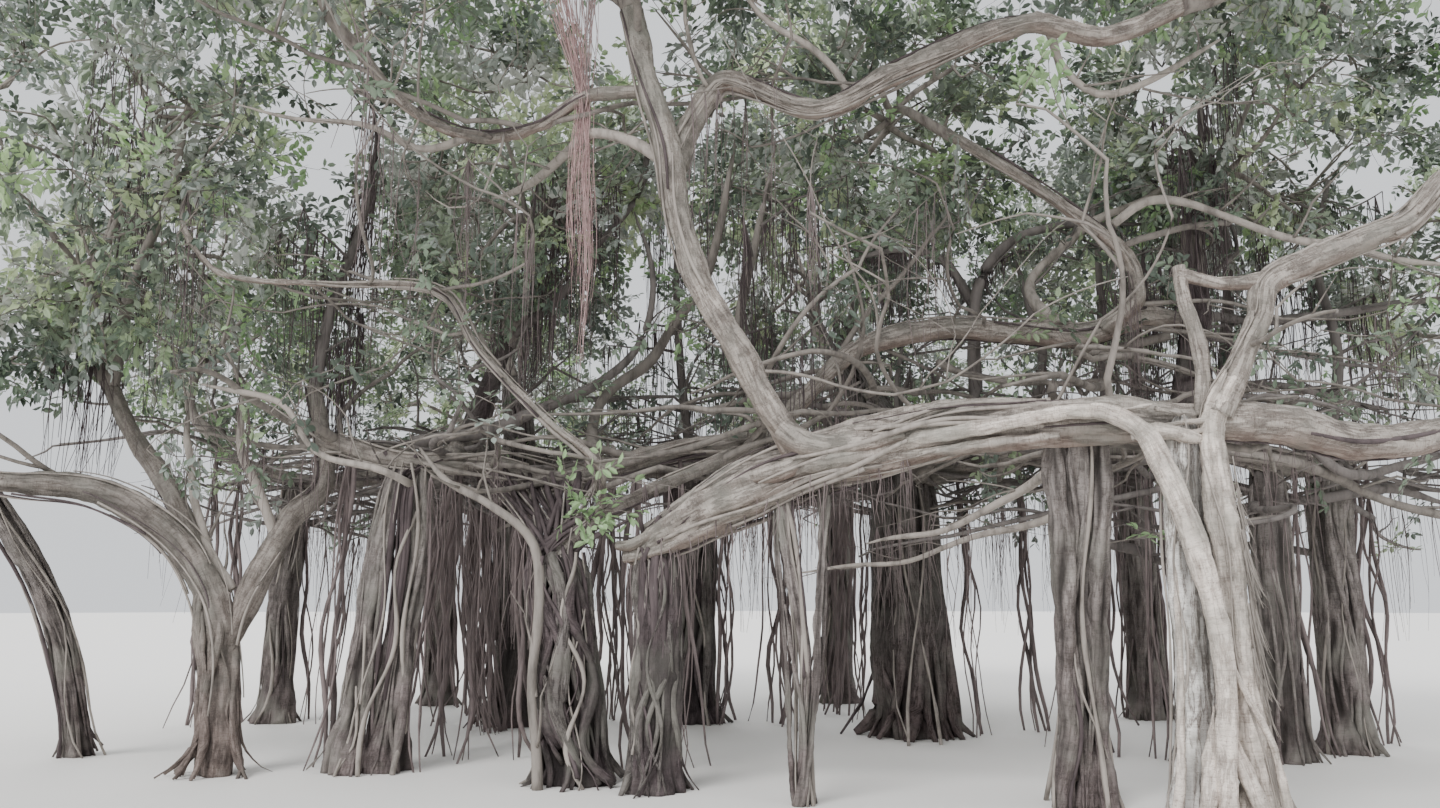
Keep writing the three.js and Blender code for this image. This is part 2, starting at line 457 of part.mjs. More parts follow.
// A mass of foliage. Its stem takes over at the bough's tip and runs to the middle of its space. Twigs grow from it
// to the edge, each flattens into a leaf at its end, and more leaves stand out from its sides.
function foliage(mass, seed) {
  const random = seeded(seed + 1);
  const start = mass.from.at.clone().addScaledVector(mass.from.direction, GAP);
  const hub = mass.middle.clone().lerp(start, 0.3);
  const bend = start.clone().addScaledVector(mass.from.direction, 0.4 * start.distanceTo(hub));
  const stemPoints = [start, bend, hub];
  const stemRadius = (t) => mass.from.radius * (0.92 - 0.35 * t);
  const parts = [rod(stemPoints, round(stemRadius), 5, [0, 0.4, 1])];
  const stem = new THREE.CatmullRomCurve3(stemPoints, false, "centripetal");
  aimsOf(mass, random).forEach((aim, i) => {
    const root = stem.getPointAt(0.62 + 0.07 * (i % 6));
    const direction = aim.clone().sub(root).normalize();
    const reach = root.distanceTo(aim);
    const leafFoot = root.clone().addScaledVector(direction, Math.max(0.5 * reach, reach - LEAF_LENGTH));
    const endLeaf = roomFor(mass, leafFoot, direction);
    const end = leafFoot.clone().addScaledVector(direction, endLeaf);
    if (endLeaf === 0 || !clearOfLimbs(root, end, TWIG_ROOT, mass)) return;
    const whole = root.distanceTo(end);
    const neck = root.distanceTo(leafFoot) / whole;
    const belly = 0.5 * (neck + 1);
    const size = endLeaf / LEAF_LENGTH;
    const wide = new Map([[0, TWIG_ROOT], [neck, TWIG_NECK], [belly, (size * LEAF_WIDTH) / 1.73], [1, 6]]);
    const thin = new Map([[0, TWIG_ROOT], [neck, TWIG_NECK], [belly, (size * LEAF_THICKNESS) / 1.5], [1, 6]]);
    const section = (t, angle) => [thin.get(t) * Math.cos(angle), wide.get(t) * Math.sin(angle)];
    parts.push(rod([root, end], section, 3, [...wide.keys()]));
    const across = new THREE.Vector3(-direction.y, direction.x, 0).normalize();
    SIDE_LEAVES.forEach((share, n) => {
      const turn = 2.1 * n + 2 * Math.PI * random();
      const roll = 0.5 + 1.2 * random();
      const foot = root.clone().lerp(end, share);
      const out = across.clone().applyAxisAngle(direction, turn);
      const heading = direction.clone().multiplyScalar(0.75).add(out).normalize();
      const length = roomFor(mass, foot, heading);
      if (length > 0) parts.push(solidOf(leaf(foot, foot.clone().addScaledVector(heading, length), roll)));
    });
  });
  meshOf(mass.name, largest(union(parts)), LEAF);
}

masses.forEach(foliage);

export default tree;
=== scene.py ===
"""A banyan tree with its bark, hanging roots, twigs and leaves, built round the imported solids."""

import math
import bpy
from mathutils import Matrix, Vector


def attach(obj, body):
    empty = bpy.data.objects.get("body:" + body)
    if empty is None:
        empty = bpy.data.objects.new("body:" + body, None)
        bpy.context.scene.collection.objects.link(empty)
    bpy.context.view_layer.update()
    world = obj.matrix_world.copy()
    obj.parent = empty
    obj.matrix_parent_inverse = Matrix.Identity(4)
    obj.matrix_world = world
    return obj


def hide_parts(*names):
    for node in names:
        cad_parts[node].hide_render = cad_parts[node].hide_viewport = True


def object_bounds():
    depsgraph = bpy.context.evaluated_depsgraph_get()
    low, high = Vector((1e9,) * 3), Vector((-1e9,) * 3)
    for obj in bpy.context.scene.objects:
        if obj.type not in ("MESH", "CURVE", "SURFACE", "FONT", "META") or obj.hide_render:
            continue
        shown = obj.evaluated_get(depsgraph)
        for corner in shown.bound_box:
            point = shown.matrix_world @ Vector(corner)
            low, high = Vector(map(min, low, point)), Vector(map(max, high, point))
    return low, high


bl_info = {
    "name": "Banyan Tree",
    "version": (1, 0, 0),
    "blender": (4, 5, 0),
    "location": "3D View > Sidebar > Banyan",
    "description": "Builds a banyan tree: trunk, root pillars, boughs, hanging roots, twigs and leaves",
    "category": "Object",
}

import bpy
import numpy as np
from bpy.props import FloatProperty, FloatVectorProperty, IntProperty, PointerProperty
from mathutils import Vector

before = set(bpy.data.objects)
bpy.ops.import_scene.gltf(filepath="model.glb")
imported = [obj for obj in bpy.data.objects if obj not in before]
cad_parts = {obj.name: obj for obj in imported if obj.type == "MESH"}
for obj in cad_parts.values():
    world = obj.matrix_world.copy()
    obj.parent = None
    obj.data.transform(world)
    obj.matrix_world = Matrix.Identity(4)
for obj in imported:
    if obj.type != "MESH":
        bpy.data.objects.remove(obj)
CAD_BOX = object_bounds()

TAU = 2 * math.pi
UP = np.array([0.0, 0.0, 1.0])

# The tree's limbs, in metres: each a route from root to tip and the radii along it. The solids have the same.
BOUGHS = {
    "bough_left": ([[0, 0.08, 2.96], [-0.5, 0.2, 2.98], [-1.1, 0.4, 3], [-1.7, 0.6, 3], [-2.3, 0.9, 2.87],
        [-2.95, 1.2, 2.73], [-3.6, 1.5, 2.46], [-4.42, 1.9, 2.02]],
        [0.17, 0.19, 0.2, 0.23, 0.25, 0.27, 0.22, 0.12]),
    "bough_right": ([[0.1, 0.02, 2.98], [0.75, 0.1, 2.95], [1.25, 0.2, 2.85], [2.05, 0.4, 2.92],
        [3.3, 1.2, 3.3], [4.3, 2.6, 3.8], [5.1, 4.1, 4.2]], [0.16, 0.15, 0.13, 0.13, 0.12, 0.1, 0.09]),
    "rising_limb": ([[-2.8, 1.15, 2.75], [-3.18, 1, 3.22], [-3.47, 0.9, 3.76], [-3.77, 0.9, 4.28],
        [-3.94, 0.9, 4.86], [-4.05, 0.95, 5.51], [-4.22, 1, 6.1], [-4.4, 1.1, 6.9]],
        [0.15, 0.13, 0.12, 0.12, 0.125, 0.12, 0.11, 0.1]),
    "cross_bough_right": ([[-4, 1, 5.4], [-3.82, 1.15, 5.9], [-3.58, 1.2, 6.27], [-2.73, 1, 5.91],
        [-2.02, 0.9, 6.22], [-0.9, 0.8, 6.62], [-0.23, 0.8, 6.5], [0.5, 0.8, 6.8]],
        [0.12, 0.11, 0.09, 0.1, 0.1, 0.1, 0.095, 0.09]),
    "cross_bough_left": ([[-4.16, 1.05, 6.12], [-4.83, 1.25, 6.14], [-5.26, 1.4, 5.94], [-5.85, 1.6, 5.9],
        [-6.5, 1.5, 6.15], [-6.9, 1.3, 6.6]], [0.09, 0.085, 0.08, 0.075, 0.07, 0.07]),
    "forked_limb": ([[0.12, -0.08, 3], [0.3, -0.1, 3.41], [0.48, -0.1, 3.75], [0.53, -0.1, 4],
        [0.84, -0.05, 4.17], [1.23, 0, 4.34], [1.74, 0.1, 4.54], [2.3, 0.3, 5], [3.2, 0.8, 5.5]],
        [0.12, 0.1, 0.11, 0.12, 0.11, 0.1, 0.1, 0.08, 0.07]),
    "stem_left": ([[-8.42, 2.8, -0.12], [-8.4, 2.8, 0.5], [-8.47, 2.8, 1.2], [-8.62, 2.8, 1.75],
        [-8.95, 2.75, 2.25], [-9.6, 2.55, 2.66], [-10.6, 2.2, 2.8], [-11.2, 2.3, 3.3]],
        [0.42, 0.21, 0.19, 0.2, 0.17, 0.15, 0.12, 0.09]),
    "stem_left_arm": ([[-8.4, 2.8, 1.1], [-8.24, 2.84, 1.6], [-7.93, 3, 2.43], [-7.7, 3.2, 2.78],
        [-7.78, 3.36, 3.3], [-7.95, 3.5, 3.9]], [0.16, 0.14, 0.13, 0.12, 0.1, 0.09]),
    "stem_left_riser": ([[-8.72, 2.88, 1.95], [-9.2, 3.1, 2.74], [-9.7, 3.2, 3.35], [-10, 3.2, 3.9]],
        [0.13, 0.12, 0.1, 0.09]),
    "bough_centre": ([[-0.12, 0.12, 2.86], [-0.3, 1.4, 3.1], [-0.7, 3.3, 3.35], [-1.1, 5.2, 3.35],
        [-1.2, 6, 3.2]], [0.16, 0.15, 0.16, 0.18, 0.2]),
    "trunk_middle": ([[-1.2, 6, -0.12], [-1.2, 6, 0.6], [-1.25, 6.05, 1.8], [-1.3, 6.1, 3.1],
        [-1.5, 6.8, 4.2], [-1.9, 7.7, 5.1]], [0.78, 0.46, 0.38, 0.36, 0.2, 0.14]),
    "bough_right_middle": ([[-0.95, 5.9, 3.2], [0.3, 4.5, 3.35], [1.5, 3.6, 3.3], [2.4, 3.65, 3.1],
        [3.3, 4.4, 3.2], [4.6, 5.5, 3.5], [5.5, 6, 3.75]], [0.17, 0.15, 0.16, 0.15, 0.14, 0.11, 0.09]),
    "dark_stem": ([[1.5, 3.62, 3.3], [1.5, 3.6, 4], [1.6, 3.65, 4.7], [1.65, 3.7, 5.2]],
        [0.26, 0.2, 0.17, 0.13]),
    "bough_over_middle": ([[1.52, 3.6, 4.62], [0.9, 3.3, 4.6], [0.3, 3.3, 4.42], [-0.45, 3.35, 4.46],
        [-1.3, 3.4, 4.5], [-2.1, 3.4, 4.3], [-2.7, 3.3, 3.75], [-3.12, 3.14, 3.26]],
        [0.12, 0.13, 0.14, 0.13, 0.12, 0.11, 0.1, 0.1]),
    "curved_limb": ([[0.45, 3.2, 4.46], [0.72, 2.95, 4.7], [0.66, 2.9, 5.1], [0, 2.75, 5.6],
        [-0.8, 2.7, 6.15], [-1.2, 2.9, 6.5]], [0.09, 0.08, 0.075, 0.07, 0.065, 0.06]),
    "wave_bough": ([[-3.15, 3.1, 3.25], [-4, 3.2, 3.17], [-4.86, 3.3, 2.95], [-5.4, 3.35, 2.86],
        [-5.95, 3.35, 3], [-6.9, 3.2, 3.05], [-7.75, 3.3, 3.3]],
        [0.12, 0.12, 0.12, 0.13, 0.13, 0.13, 0.11]),
    "sling_bough": ([[-5.22, 2.25, 1.9], [-4.9, 2.3, 2.3], [-4.2, 2.45, 2.7], [-3.6, 2.75, 3],
        [-3.2, 3.12, 3.22]], [0.12, 0.085, 0.07, 0.07, 0.07]),
    "thin_limb_left": ([[-4.75, 2.33, 2.4], [-4.72, 2, 2.85], [-5.2, 1.9, 3.28], [-5.84, 1.85, 3.94],
        [-6.2, 1.85, 4.48], [-7.28, 1.85, 4.56], [-8.32, 1.85, 4.68], [-8.68, 1.85, 5.1]],
        [0.06, 0.055, 0.055, 0.05, 0.05, 0.045, 0.045, 0.04]),
    "trunk_back_left": ([[-6.3, 7.2, -0.12], [-6.3, 7.2, 0.6], [-6.35, 7.2, 2], [-6.4, 7.3, 3.3],
        [-6.5, 7.6, 4.3], [-6.7, 8, 4.9]], [0.6, 0.34, 0.28, 0.27, 0.17, 0.12]),
    "bough_back": ([[-1.35, 6.3, 3.35], [-2.6, 7, 3.55], [-4, 7.5, 3.5], [-5.3, 7.5, 3.5],
        [-6.35, 7.35, 3.45]], [0.2, 0.17, 0.17, 0.16, 0.17]),
    "bough_left_middle": ([[-6.4, 7.2, 3.3], [-6.7, 5.8, 3.45], [-6.6, 4.6, 3.4], [-6.4, 3.35, 3.1]],
        [0.16, 0.14, 0.13, 0.12]),
    "riser_left_middle": ([[-6.62, 4.9, 3.4], [-6.4, 4.8, 4], [-6.1, 4.7, 4.7]], [0.14, 0.12, 0.1]),
    "bough_far_left": ([[-6.4, 7.3, 3.35], [-8, 7.6, 3.4], [-9.6, 7.5, 3.3], [-10.6, 7.5, 3.7],
        [-10.9, 7.6, 4]], [0.18, 0.15, 0.13, 0.11, 0.09]),
    "bough_back_left_corner": ([[-6.45, 7.4, 3.6], [-7.4, 9, 3.7], [-8.2, 10.2, 3.6], [-8.6, 10.9, 3.85]],
        [0.16, 0.13, 0.12, 0.09]),
    "bough_back_middle": ([[-1.3, 6.35, 3.5], [-1.7, 8.4, 3.75], [-1.6, 10.4, 3.6], [-1.5, 11.4, 3.9]],
        [0.17, 0.15, 0.13, 0.09]),
    "bough_back_right": ([[-1.15, 6.1, 3.55], [0.8, 6.9, 3.65], [2.4, 7.9, 3.55], [2.9, 8.3, 4.1],
        [2.8, 8.5, 4.8]], [0.19, 0.16, 0.15, 0.13, 0.1]),
    "pillar_inner": ([[-0.68, 1.2, -0.12], [-0.66, 1.12, 0.5], [-0.7, 0.85, 1.7], [-0.78, 0.42, 2.95]],
        [0.26, 0.16, 0.14, 0.15]),
    "pillar_forked": ([[-2.92, 1.2, -0.12], [-2.93, 1.18, 0.8], [-2.97, 1.16, 1.7], [-3.08, 1.2, 2.6]],
        [0.09, 0.055, 0.06, 0.07]),
}

# Smaller limbs that are part of another limb's solid.
SPURS = [
    ("forked_limb", [[0.04, -0.04, 3], [0.03, -0.05, 3.5], [-0.06, -0.05, 3.9], [-0.08, -0.03, 4.16]],
        [0.08, 0.07, 0.06, 0.055]),
    ("forked_limb", [[0.5, -0.09, 4.03], [0.2, -0.07, 4.02], [-0.1, -0.04, 4.1]], [0.07, 0.055, 0.055]),
    ("pillar_inner", [[-0.86, 1.08, -0.12], [-0.78, 0.98, 0.9], [-0.88, 0.62, 2.1], [-0.96, 0.42, 2.9]],
        [0.13, 0.11, 0.1, 0.1]),
    ("pillar_inner", [[-0.5, 1.02, -0.12], [-0.55, 1, 0.9], [-0.6, 0.6, 2], [-0.62, 0.36, 2.9]],
        [0.12, 0.1, 0.09, 0.09]),
    ("pillar_forked", [[-2.93, 1.14, -0.12], [-2.9, 1.12, 0.7], [-2.75, 1.12, 1.8], [-2.66, 1.12, 2.6]],
        [0.06, 0.05, 0.045, 0.045]),
]

# Pillars: foot, head, width, twist, flare and sideways lean, as the solids have them.
PILLARS = {
    "pillar_root_bundle": ([-4.16, 1.85], [-4.16, 1.78, 2.1], 0.44, 0.3, 1.25, [0, 0]),
    "pillar_wide": ([-4.9, 2.3], [-5.15, 2.25, 2.05], 0.62, 0.5, 1.3, [0, 0]),
    "pillar_split": ([-7, 3.02], [-6.8, 3.2, 3], 0.52, 0.5, 1.35, [0, 0]),
    "pillar_leaning": ([-10.45, 4.2], [-11.12, 2.4, 3.3], 0.34, 0.6, 1.6, [0.25, 0.2]),
    "pillar_right_a": ([2.27, 3.7], [2.25, 3.66, 3.12], 0.42, 0.6, 1.5, [0, 0]),
    "pillar_right_b": ([3.25, 4.4], [3.3, 4.4, 3.2], 0.46, -0.8, 1.5, [0, 0]),
    "pillar_right_c": ([4.6, 3.1], [4.55, 3.05, 3.95], 0.36, 0.7, 1.5, [0, 0]),
    "pillar_dark_stem": ([1.42, 3.75], [1.45, 3.62, 3.3], 0.5, 0.7, 1.5, [0, 0]),
    "pillar_middle_back": ([-4, 7.5], [-4, 7.5, 3.5], 0.62, 0.6, 1.5, [0, 0]),
    "pillar_far_left": ([-9.7, 7.5], [-9.6, 7.5, 3.3], 0.42, 1.2, 1.6, [0, 0]),
    "pillar_back_left": ([-8.1, 10.15], [-8.15, 10.15, 3.6], 0.46, 0.8, 1.5, [0, 0]),
    "pillar_back_middle": ([-1.7, 10.5], [-1.6, 10.35, 3.62], 0.5, 0.6, 1.5, [0, 0]),
    "pillar_back_right": ([2.45, 8], [2.35, 7.88, 3.55], 0.5, 0.7, 1.5, [0, 0]),
}

# The trunk's stems as the solids have them, and the angles and radii of its root toes.
TRUNK_STEMS = [
    ([[-0.2, 0.12, -0.12], [-0.19, 0.1, 1.3], [-0.2, 0.1, 2.4], [-0.13, 0.06, 3]], [0.24, 0.2, 0.22, 0.2]),
    ([[-0.06, -0.1, -0.12], [-0.1, -0.12, 1.3], [-0.26, -0.07, 2.3], [-0.48, 0.04, 2.8]],
        [0.15, 0.11, 0.1, 0.11]),
    ([[0.3, -0.02, -0.12], [0.17, -0.03, 0.8], [0.06, -0.03, 1.9], [0.05, -0.03, 3.12]],
        [0.2, 0.13, 0.11, 0.13]),
]
TOE_ANGLES = [0.1, 1.5, 2.8, 4, 5.2]
TOE_RADII = [0.05, 0.09, 0.1]

# The trunk's stems as they show: the pale slab, the round stem that peels off the left bough, the shaggy one.
SLAB_STEM = ([[-0.18, 0.08, -0.12], [-0.14, 0.06, 1.3], [-0.13, 0.06, 2.4], [-0.1, 0.05, 3]],
    [0.215, 0.165, 0.17, 0.18])
PEELING_STEM = ([[-0.1, -0.17, -0.1], [-0.05, -0.18, 0.6], [-0.02, -0.19, 1.09], [-0.05, -0.18, 1.5],
    [-0.14, -0.18, 1.94], [-0.25, -0.17, 2.34], [-0.34, -0.15, 2.58], [-0.46, -0.1, 2.87],
    [-0.67, -0.02, 3.02], [-0.85, 0.03, 3.05], [-1.13, 0.14, 3.03], [-1.53, 0.32, 2.97],
    [-1.94, 0.55, 2.93], [-2.29, 0.78, 2.88], [-2.64, 0.96, 2.85]],
    [0.12, 0.084, 0.076, 0.076, 0.08, 0.086, 0.098, 0.09, 0.072, 0.06, 0.058, 0.066, 0.06, 0.05, 0.03])
SHAGGY_STEM = ([[0.3, -0.02, -0.12], [0.19, -0.05, 0.8], [0.13, -0.06, 1.9], [0.08, -0.06, 2.5],
    [0.07, -0.06, 2.95], [0.16, -0.09, 3.2], [0.3, -0.1, 3.41]],
    [0.2, 0.125, 0.11, 0.11, 0.125, 0.11, 0.09])
# Roots that run up the trunk's foot, and the one across its head.
TRUNK_ROOTS = [
    ([[0.36, -0.24, -0.05], [0.32, -0.24, 0.24], [0.25, -0.23, 0.66], [0.12, -0.22, 0.95], [0, -0.2, 1.24]],
        [0.04, 0.032, 0.027, 0.025, 0.02]),
    ([[-0.45, -0.06, -0.05], [-0.36, -0.08, 0.3], [-0.3, -0.06, 0.9], [-0.27, -0.04, 1.6], [-0.26, 0, 2.4]],
        [0.05, 0.035, 0.025, 0.022, 0.02]),
    ([[0.52, 0.02, -0.05], [0.42, -0.02, 0.25], [0.3, -0.05, 0.8], [0.22, -0.08, 1.5], [0.16, -0.08, 2.3]],
        [0.05, 0.035, 0.028, 0.026, 0.02]),
    ([[-0.52, -0.02, 2.84], [-0.36, -0.1, 2.88], [-0.15, -0.12, 2.84], [-0.02, -0.06, 2.82]],
        [0.04, 0.07, 0.065, 0.05]),
]

# Roots grown along the left bough: the low front one, the stub's, the forked limb's collar and the top one.
BOUGH_STRANDS = [
    ([[-1, 0.16, 2.88], [-1.53, 0.35, 2.84], [-1.92, 0.56, 2.8], [-2.28, 0.74, 2.77], [-2.65, 0.9, 2.67],
        [-3.07, 1.1, 2.5], [-3.59, 1.36, 2.32], [-3.86, 1.47, 2.19], [-4.17, 1.62, 2.06], [-4.45, 1.78, 2]],
        [0.04, 0.05, 0.045, 0.048, 0.05, 0.055, 0.06, 0.06, 0.055, 0.045]),
    ([[-2.75, 0.92, 2.88], [-3.07, 1.05, 2.72], [-3.42, 1.24, 2.64], [-3.77, 1.42, 2.48],
        [-4.08, 1.58, 2.29], [-4.4, 1.76, 2.12], [-4.52, 1.84, 2.12]],
        [0.07, 0.085, 0.085, 0.08, 0.08, 0.06, 0.05]),
    ([[-3.1, 1, 3.06], [-2.95, 0.98, 2.96], [-2.76, 0.92, 2.9], [-2.5, 0.8, 2.9], [-2.1, 0.62, 2.95]],
        [0.12, 0.12, 0.1, 0.08, 0.05]),
    ([[-4.3, 1.9, 2.26], [-3.7, 1.6, 2.6], [-3.1, 1.36, 2.86], [-2.5, 1, 3.04], [-1.8, 0.66, 3.16],
        [-1, 0.36, 3.14]], [0.05, 0.08, 0.09, 0.1, 0.09, 0.07]),
]

# Thin limbs that show against the light: route, radius at the root and at the tip.
THIN_LIMBS = [
    ([[-6.6, 2.5, 2.75], [-6.69, 2.2, 2.82], [-7.24, 2.2, 3.04], [-7.69, 2.2, 3.37], [-8.13, 2.2, 3.59],
        [-8.55, 2.2, 3.67]], 0.045, 0.03),
    ([[-5.2, 1.93, -0.03], [-5.24, 1.94, 0.85], [-5.3, 1.97, 1.6], [-5.37, 2.03, 2.12], [-5.72, 2, 2.5],
        [-6.12, 2.1, 2.74], [-6.49, 2.4, 3.08]], 0.05, 0.034),
    ([[-8.39, 2.84, 1.74], [-8.61, 2.9, 2.13], [-8.76, 2.95, 2.43], [-8.93, 3, 2.85], [-9.1, 3.1, 3.5]],
        0.055, 0.04),
    ([[-7.99, 3, 2.13], [-8.11, 2.9, 2.43], [-8.27, 2.9, 2.83], [-8.44, 2.9, 3.14], [-8.5, 3, 3.7]],
        0.055, 0.035),
    ([[-6.9, 3.6, 3.3], [-6.26, 4, 3.48], [-5.6, 4, 3.72], [-4.94, 4, 4.01], [-4.5, 4, 4.46],
        [-4.34, 4, 5.2], [-4.6, 4.2, 6.1]], 0.08, 0.025),
    ([[-0.9, 0.8, 6.6], [-0.68, 1.2, 6.9], [-0.36, 1.5, 6.58], [-0.05, 1.5, 6.28], [0.42, 1.5, 6.38],
        [1.11, 1.5, 6.84]], 0.05, 0.03),
    ([[0.4, 2.6, 5.4], [0.75, 2.5, 5.62], [1.45, 2.3, 5.39], [1.96, 2, 5.04], [2.71, 2, 4.89],
        [3.37, 2, 4.79]], 0.05, 0.035),
    ([[1.2, 3.4, 3.2], [1.68, 3, 3.09], [2.59, 3.2, 2.96], [3.4, 3.4, 2.67], [4.4, 3.5, 2.4]], 0.07, 0.045),
    ([[1.6, 3.7, 2.95], [2.12, 4, 2.83], [2.77, 4, 2.72], [3.77, 4.2, 2.85], [4.73, 4.5, 2.71]],
        0.07, 0.05),
    ([[1.5, 3.5, 3.5], [2.21, 3, 3.35], [2.79, 3.2, 2.96], [3.6, 3.5, 3.05], [4.5, 3.8, 3.25]], 0.06, 0.04),
    ([[-0.5, 1.2, 2.95], [-0.76, 1.6, 2.73], [-1.21, 2.2, 2.47], [-1.6, 2.4, 2.3], [-2.2, 2.5, 2.17]],
        0.05, 0.02),
    ([[-0.1, 1.9, 2.8], [-0.22, 2.2, 2.56], [-0.69, 2.6, 2.31], [-1.24, 2.8, 2.17], [-1.77, 3.2, 2.04],
        [-2.9, 3.4, 1.9]], 0.045, 0.015),
    ([[0.1, 3.9, 2.6], [0.55, 4, 2.28], [1.49, 4.5, 2.09], [2.53, 5, 2.28], [3.9, 5, 2.1]], 0.06, 0.04),
    ([[0.1, 3.35, 4.45], [-0.19, 3.6, 4.9], [0.17, 3.9, 5.45], [0.57, 3.9, 5.8], [1.2, 3.9, 6.1],
        [1.7, 3.9, 6.5]], 0.07, 0.04),
    ([[0.7, 4.2, 3.35], [0.96, 4.8, 4], [1.03, 5, 4.9], [1.04, 5, 5.8], [1, 5, 6.8]], 0.06, 0.035),
    ([[3.3, 4.4, 3.2], [2.6, 5, 4], [2.6, 5.2, 4.9], [2.76, 5.2, 5.95], [2.67, 5.2, 6.9], [2.9, 5.2, 7.6]],
        0.09, 0.05),
    ([[0.3, 4.5, 3.35], [0.08, 4.45, 3.7], [0.12, 4.4, 4.3], [0, 4.4, 5], [-0.1, 4.5, 5.6]], 0.065, 0.04),
    ([[1.6, 3.7, 4.7], [2.24, 4.2, 4.85], [3.15, 4.2, 4.85], [3.9, 4.2, 4.95], [4.7, 4.2, 5.05]],
        0.06, 0.04),
    ([[1.5, 3.6, 3.8], [2.1, 3.6, 3.95], [3, 3.6, 3.77], [3.7, 3.8, 3.7]], 0.05, 0.03),
    ([[-4.9, 3.4, 3], [-5, 4.3, 3.7], [-4.5, 4.6, 4.4], [-3.95, 4.6, 5.15], [-3.6, 4.6, 6.1],
        [-3.4, 4.6, 7.2]], 0.075, 0.04),
    ([[-6.1, 4.7, 4.7], [-5.5, 4.4, 5.1], [-5, 4.4, 5.7], [-4.55, 4.4, 6.4], [-4.4, 4.4, 7.4]],
        0.06, 0.035),
    ([[-5.93, 1.6, 5.92], [-6.44, 1.6, 5.8], [-6.9, 1.5, 5.96], [-7.47, 1.4, 5.99], [-7.98, 1.2, 6.06]],
        0.04, 0.014),
    ([[-5.6, 1.5, 5.92], [-5.63, 1.35, 5.58], [-5.78, 1.3, 5.16], [-6.07, 1.3, 5.11], [-6.26, 1.3, 5.28]],
        0.014, 0.006),
    ([[-3.68, 1.15, 6.14], [-3.84, 0.95, 6.35], [-3.92, 0.85, 6.69], [-3.85, 0.8, 7.14]], 0.024, 0.014),
    ([[-2.43, 1, 6], [-2.56, 1.05, 6.29], [-2.81, 1, 6.54], [-3.15, 0.95, 6.78], [-3.47, 0.9, 7.19]],
        0.04, 0.022),
    ([[-4.1, 1, 5.44], [-4.4, 1.1, 5.68], [-4.72, 1.2, 5.78], [-5.05, 1.6, 5.72], [-5.5, 2.2, 5.66],
        [-5.95, 2.8, 5.75]], 0.058, 0.03),
]
# Two dark limbs behind the left bough that short roots crowd.
HAIRY_LIMBS = [
    ([[-0.7, 3.5, 3.4], [-0.76, 4, 3.6], [-0.7, 4.2, 4], [-0.72, 4.2, 4.5], [-0.5, 4.2, 5.4],
        [0.35, 4.2, 5.9], [1.3, 4.2, 5.95]], 0.09, 0.045),
    ([[-0.7, 4.2, 5], [-1, 4.2, 5.5], [-1.4, 4.2, 5.65], [-2.1, 4.2, 5.5]], 0.06, 0.035),
]
# The thin left limb's last stretch, beyond its solid.
RUN_ON = ([[-8.6, 1.85, 4.95], [-8.72, 1.85, 5.3], [-8.5, 1.85, 5.75], [-8.3, 1.88, 6.2],
    [-8.35, 1.95, 6.8]], 0.028, 0.012)
# The red tassel, and the limb that it hangs from.
TASSEL = {"x": -4.84, "y": 1.25, "top": 6.14, "bottom": 3.5, "width": 0.17, "strands": 4}
TASSEL_LIMB = [[-4.4, 1.08, 6.86], [-4.62, 1.2, 7.12], [-4.95, 1.28, 7.2], [-5.5, 1.45, 7.34],
    [-6.1, 1.5, 7.3]]

# Upright stems in the crown that carry curtains of hanging roots, each with the number of its side limbs.
CURTAINS = [
    ([[1.6, 3.65, 4.5], [1.65, 3.7, 5.4], [1.9, 3.9, 6.2], [2, 4, 7.4]], 15),
    ([[-7.95, 3.5, 3.8], [-7.85, 3.6, 4.8], [-7.6, 3.7, 5.8], [-7.5, 3.8, 6.9]], 9),
    ([[-9.95, 3.2, 3.8], [-9.8, 3.1, 4.8], [-9.4, 3, 6], [-9.3, 3, 7]], 8),
    ([[-6.1, 4.7, 4.6], [-5.8, 4.7, 5.6], [-5.5, 4.6, 6.8]], 7),
    ([[-1.9, 7.6, 5], [-1.6, 7.2, 6], [-1.2, 6.9, 7]], 6),
    ([[3.3, 4.4, 3.2], [3.5, 4.3, 4.4], [3.4, 4.4, 5.6], [3.7, 4.5, 6.6]], 9),
    ([[-3.1, 3.2, 3.3], [-3.4, 3.6, 4.4], [-3.2, 3.8, 5.6], [-3, 4.2, 6.6]], 7),
    ([[2.7, 8.3, 4.6], [2.5, 8.4, 6.2]], 4),
    ([[-4, 7.5, 3.45], [-4.15, 7.2, 4.8], [-4.2, 6.7, 6.2], [-4, 6.3, 7.6]], 9),
]

# Where roots run on above a pillar's head into the boughs that let it down.
HEADS = {
    "pillar_root_bundle": [[-4.36, 1.88, 2.14], [-4.1, 1.74, 2.36], [-3.85, 1.62, 2.42]],
    "pillar_wide": [[-4.95, 2.3, 2.3], [-4.76, 2.32, 2.46], [-5.5, 3.2, 2.84], [-5.05, 2.9, 2.85],
        [-5.9, 3.2, 2.95]],
    "pillar_split": [[-6.9, 3.2, 3.1], [-6.6, 3.25, 3.05]],
}

# The way through under the left bough, which nothing hangs into: lowest and highest corner.
WALKWAY = [[-2.55, 0, 0.05], [-1.1, 1.6, 2.2]]

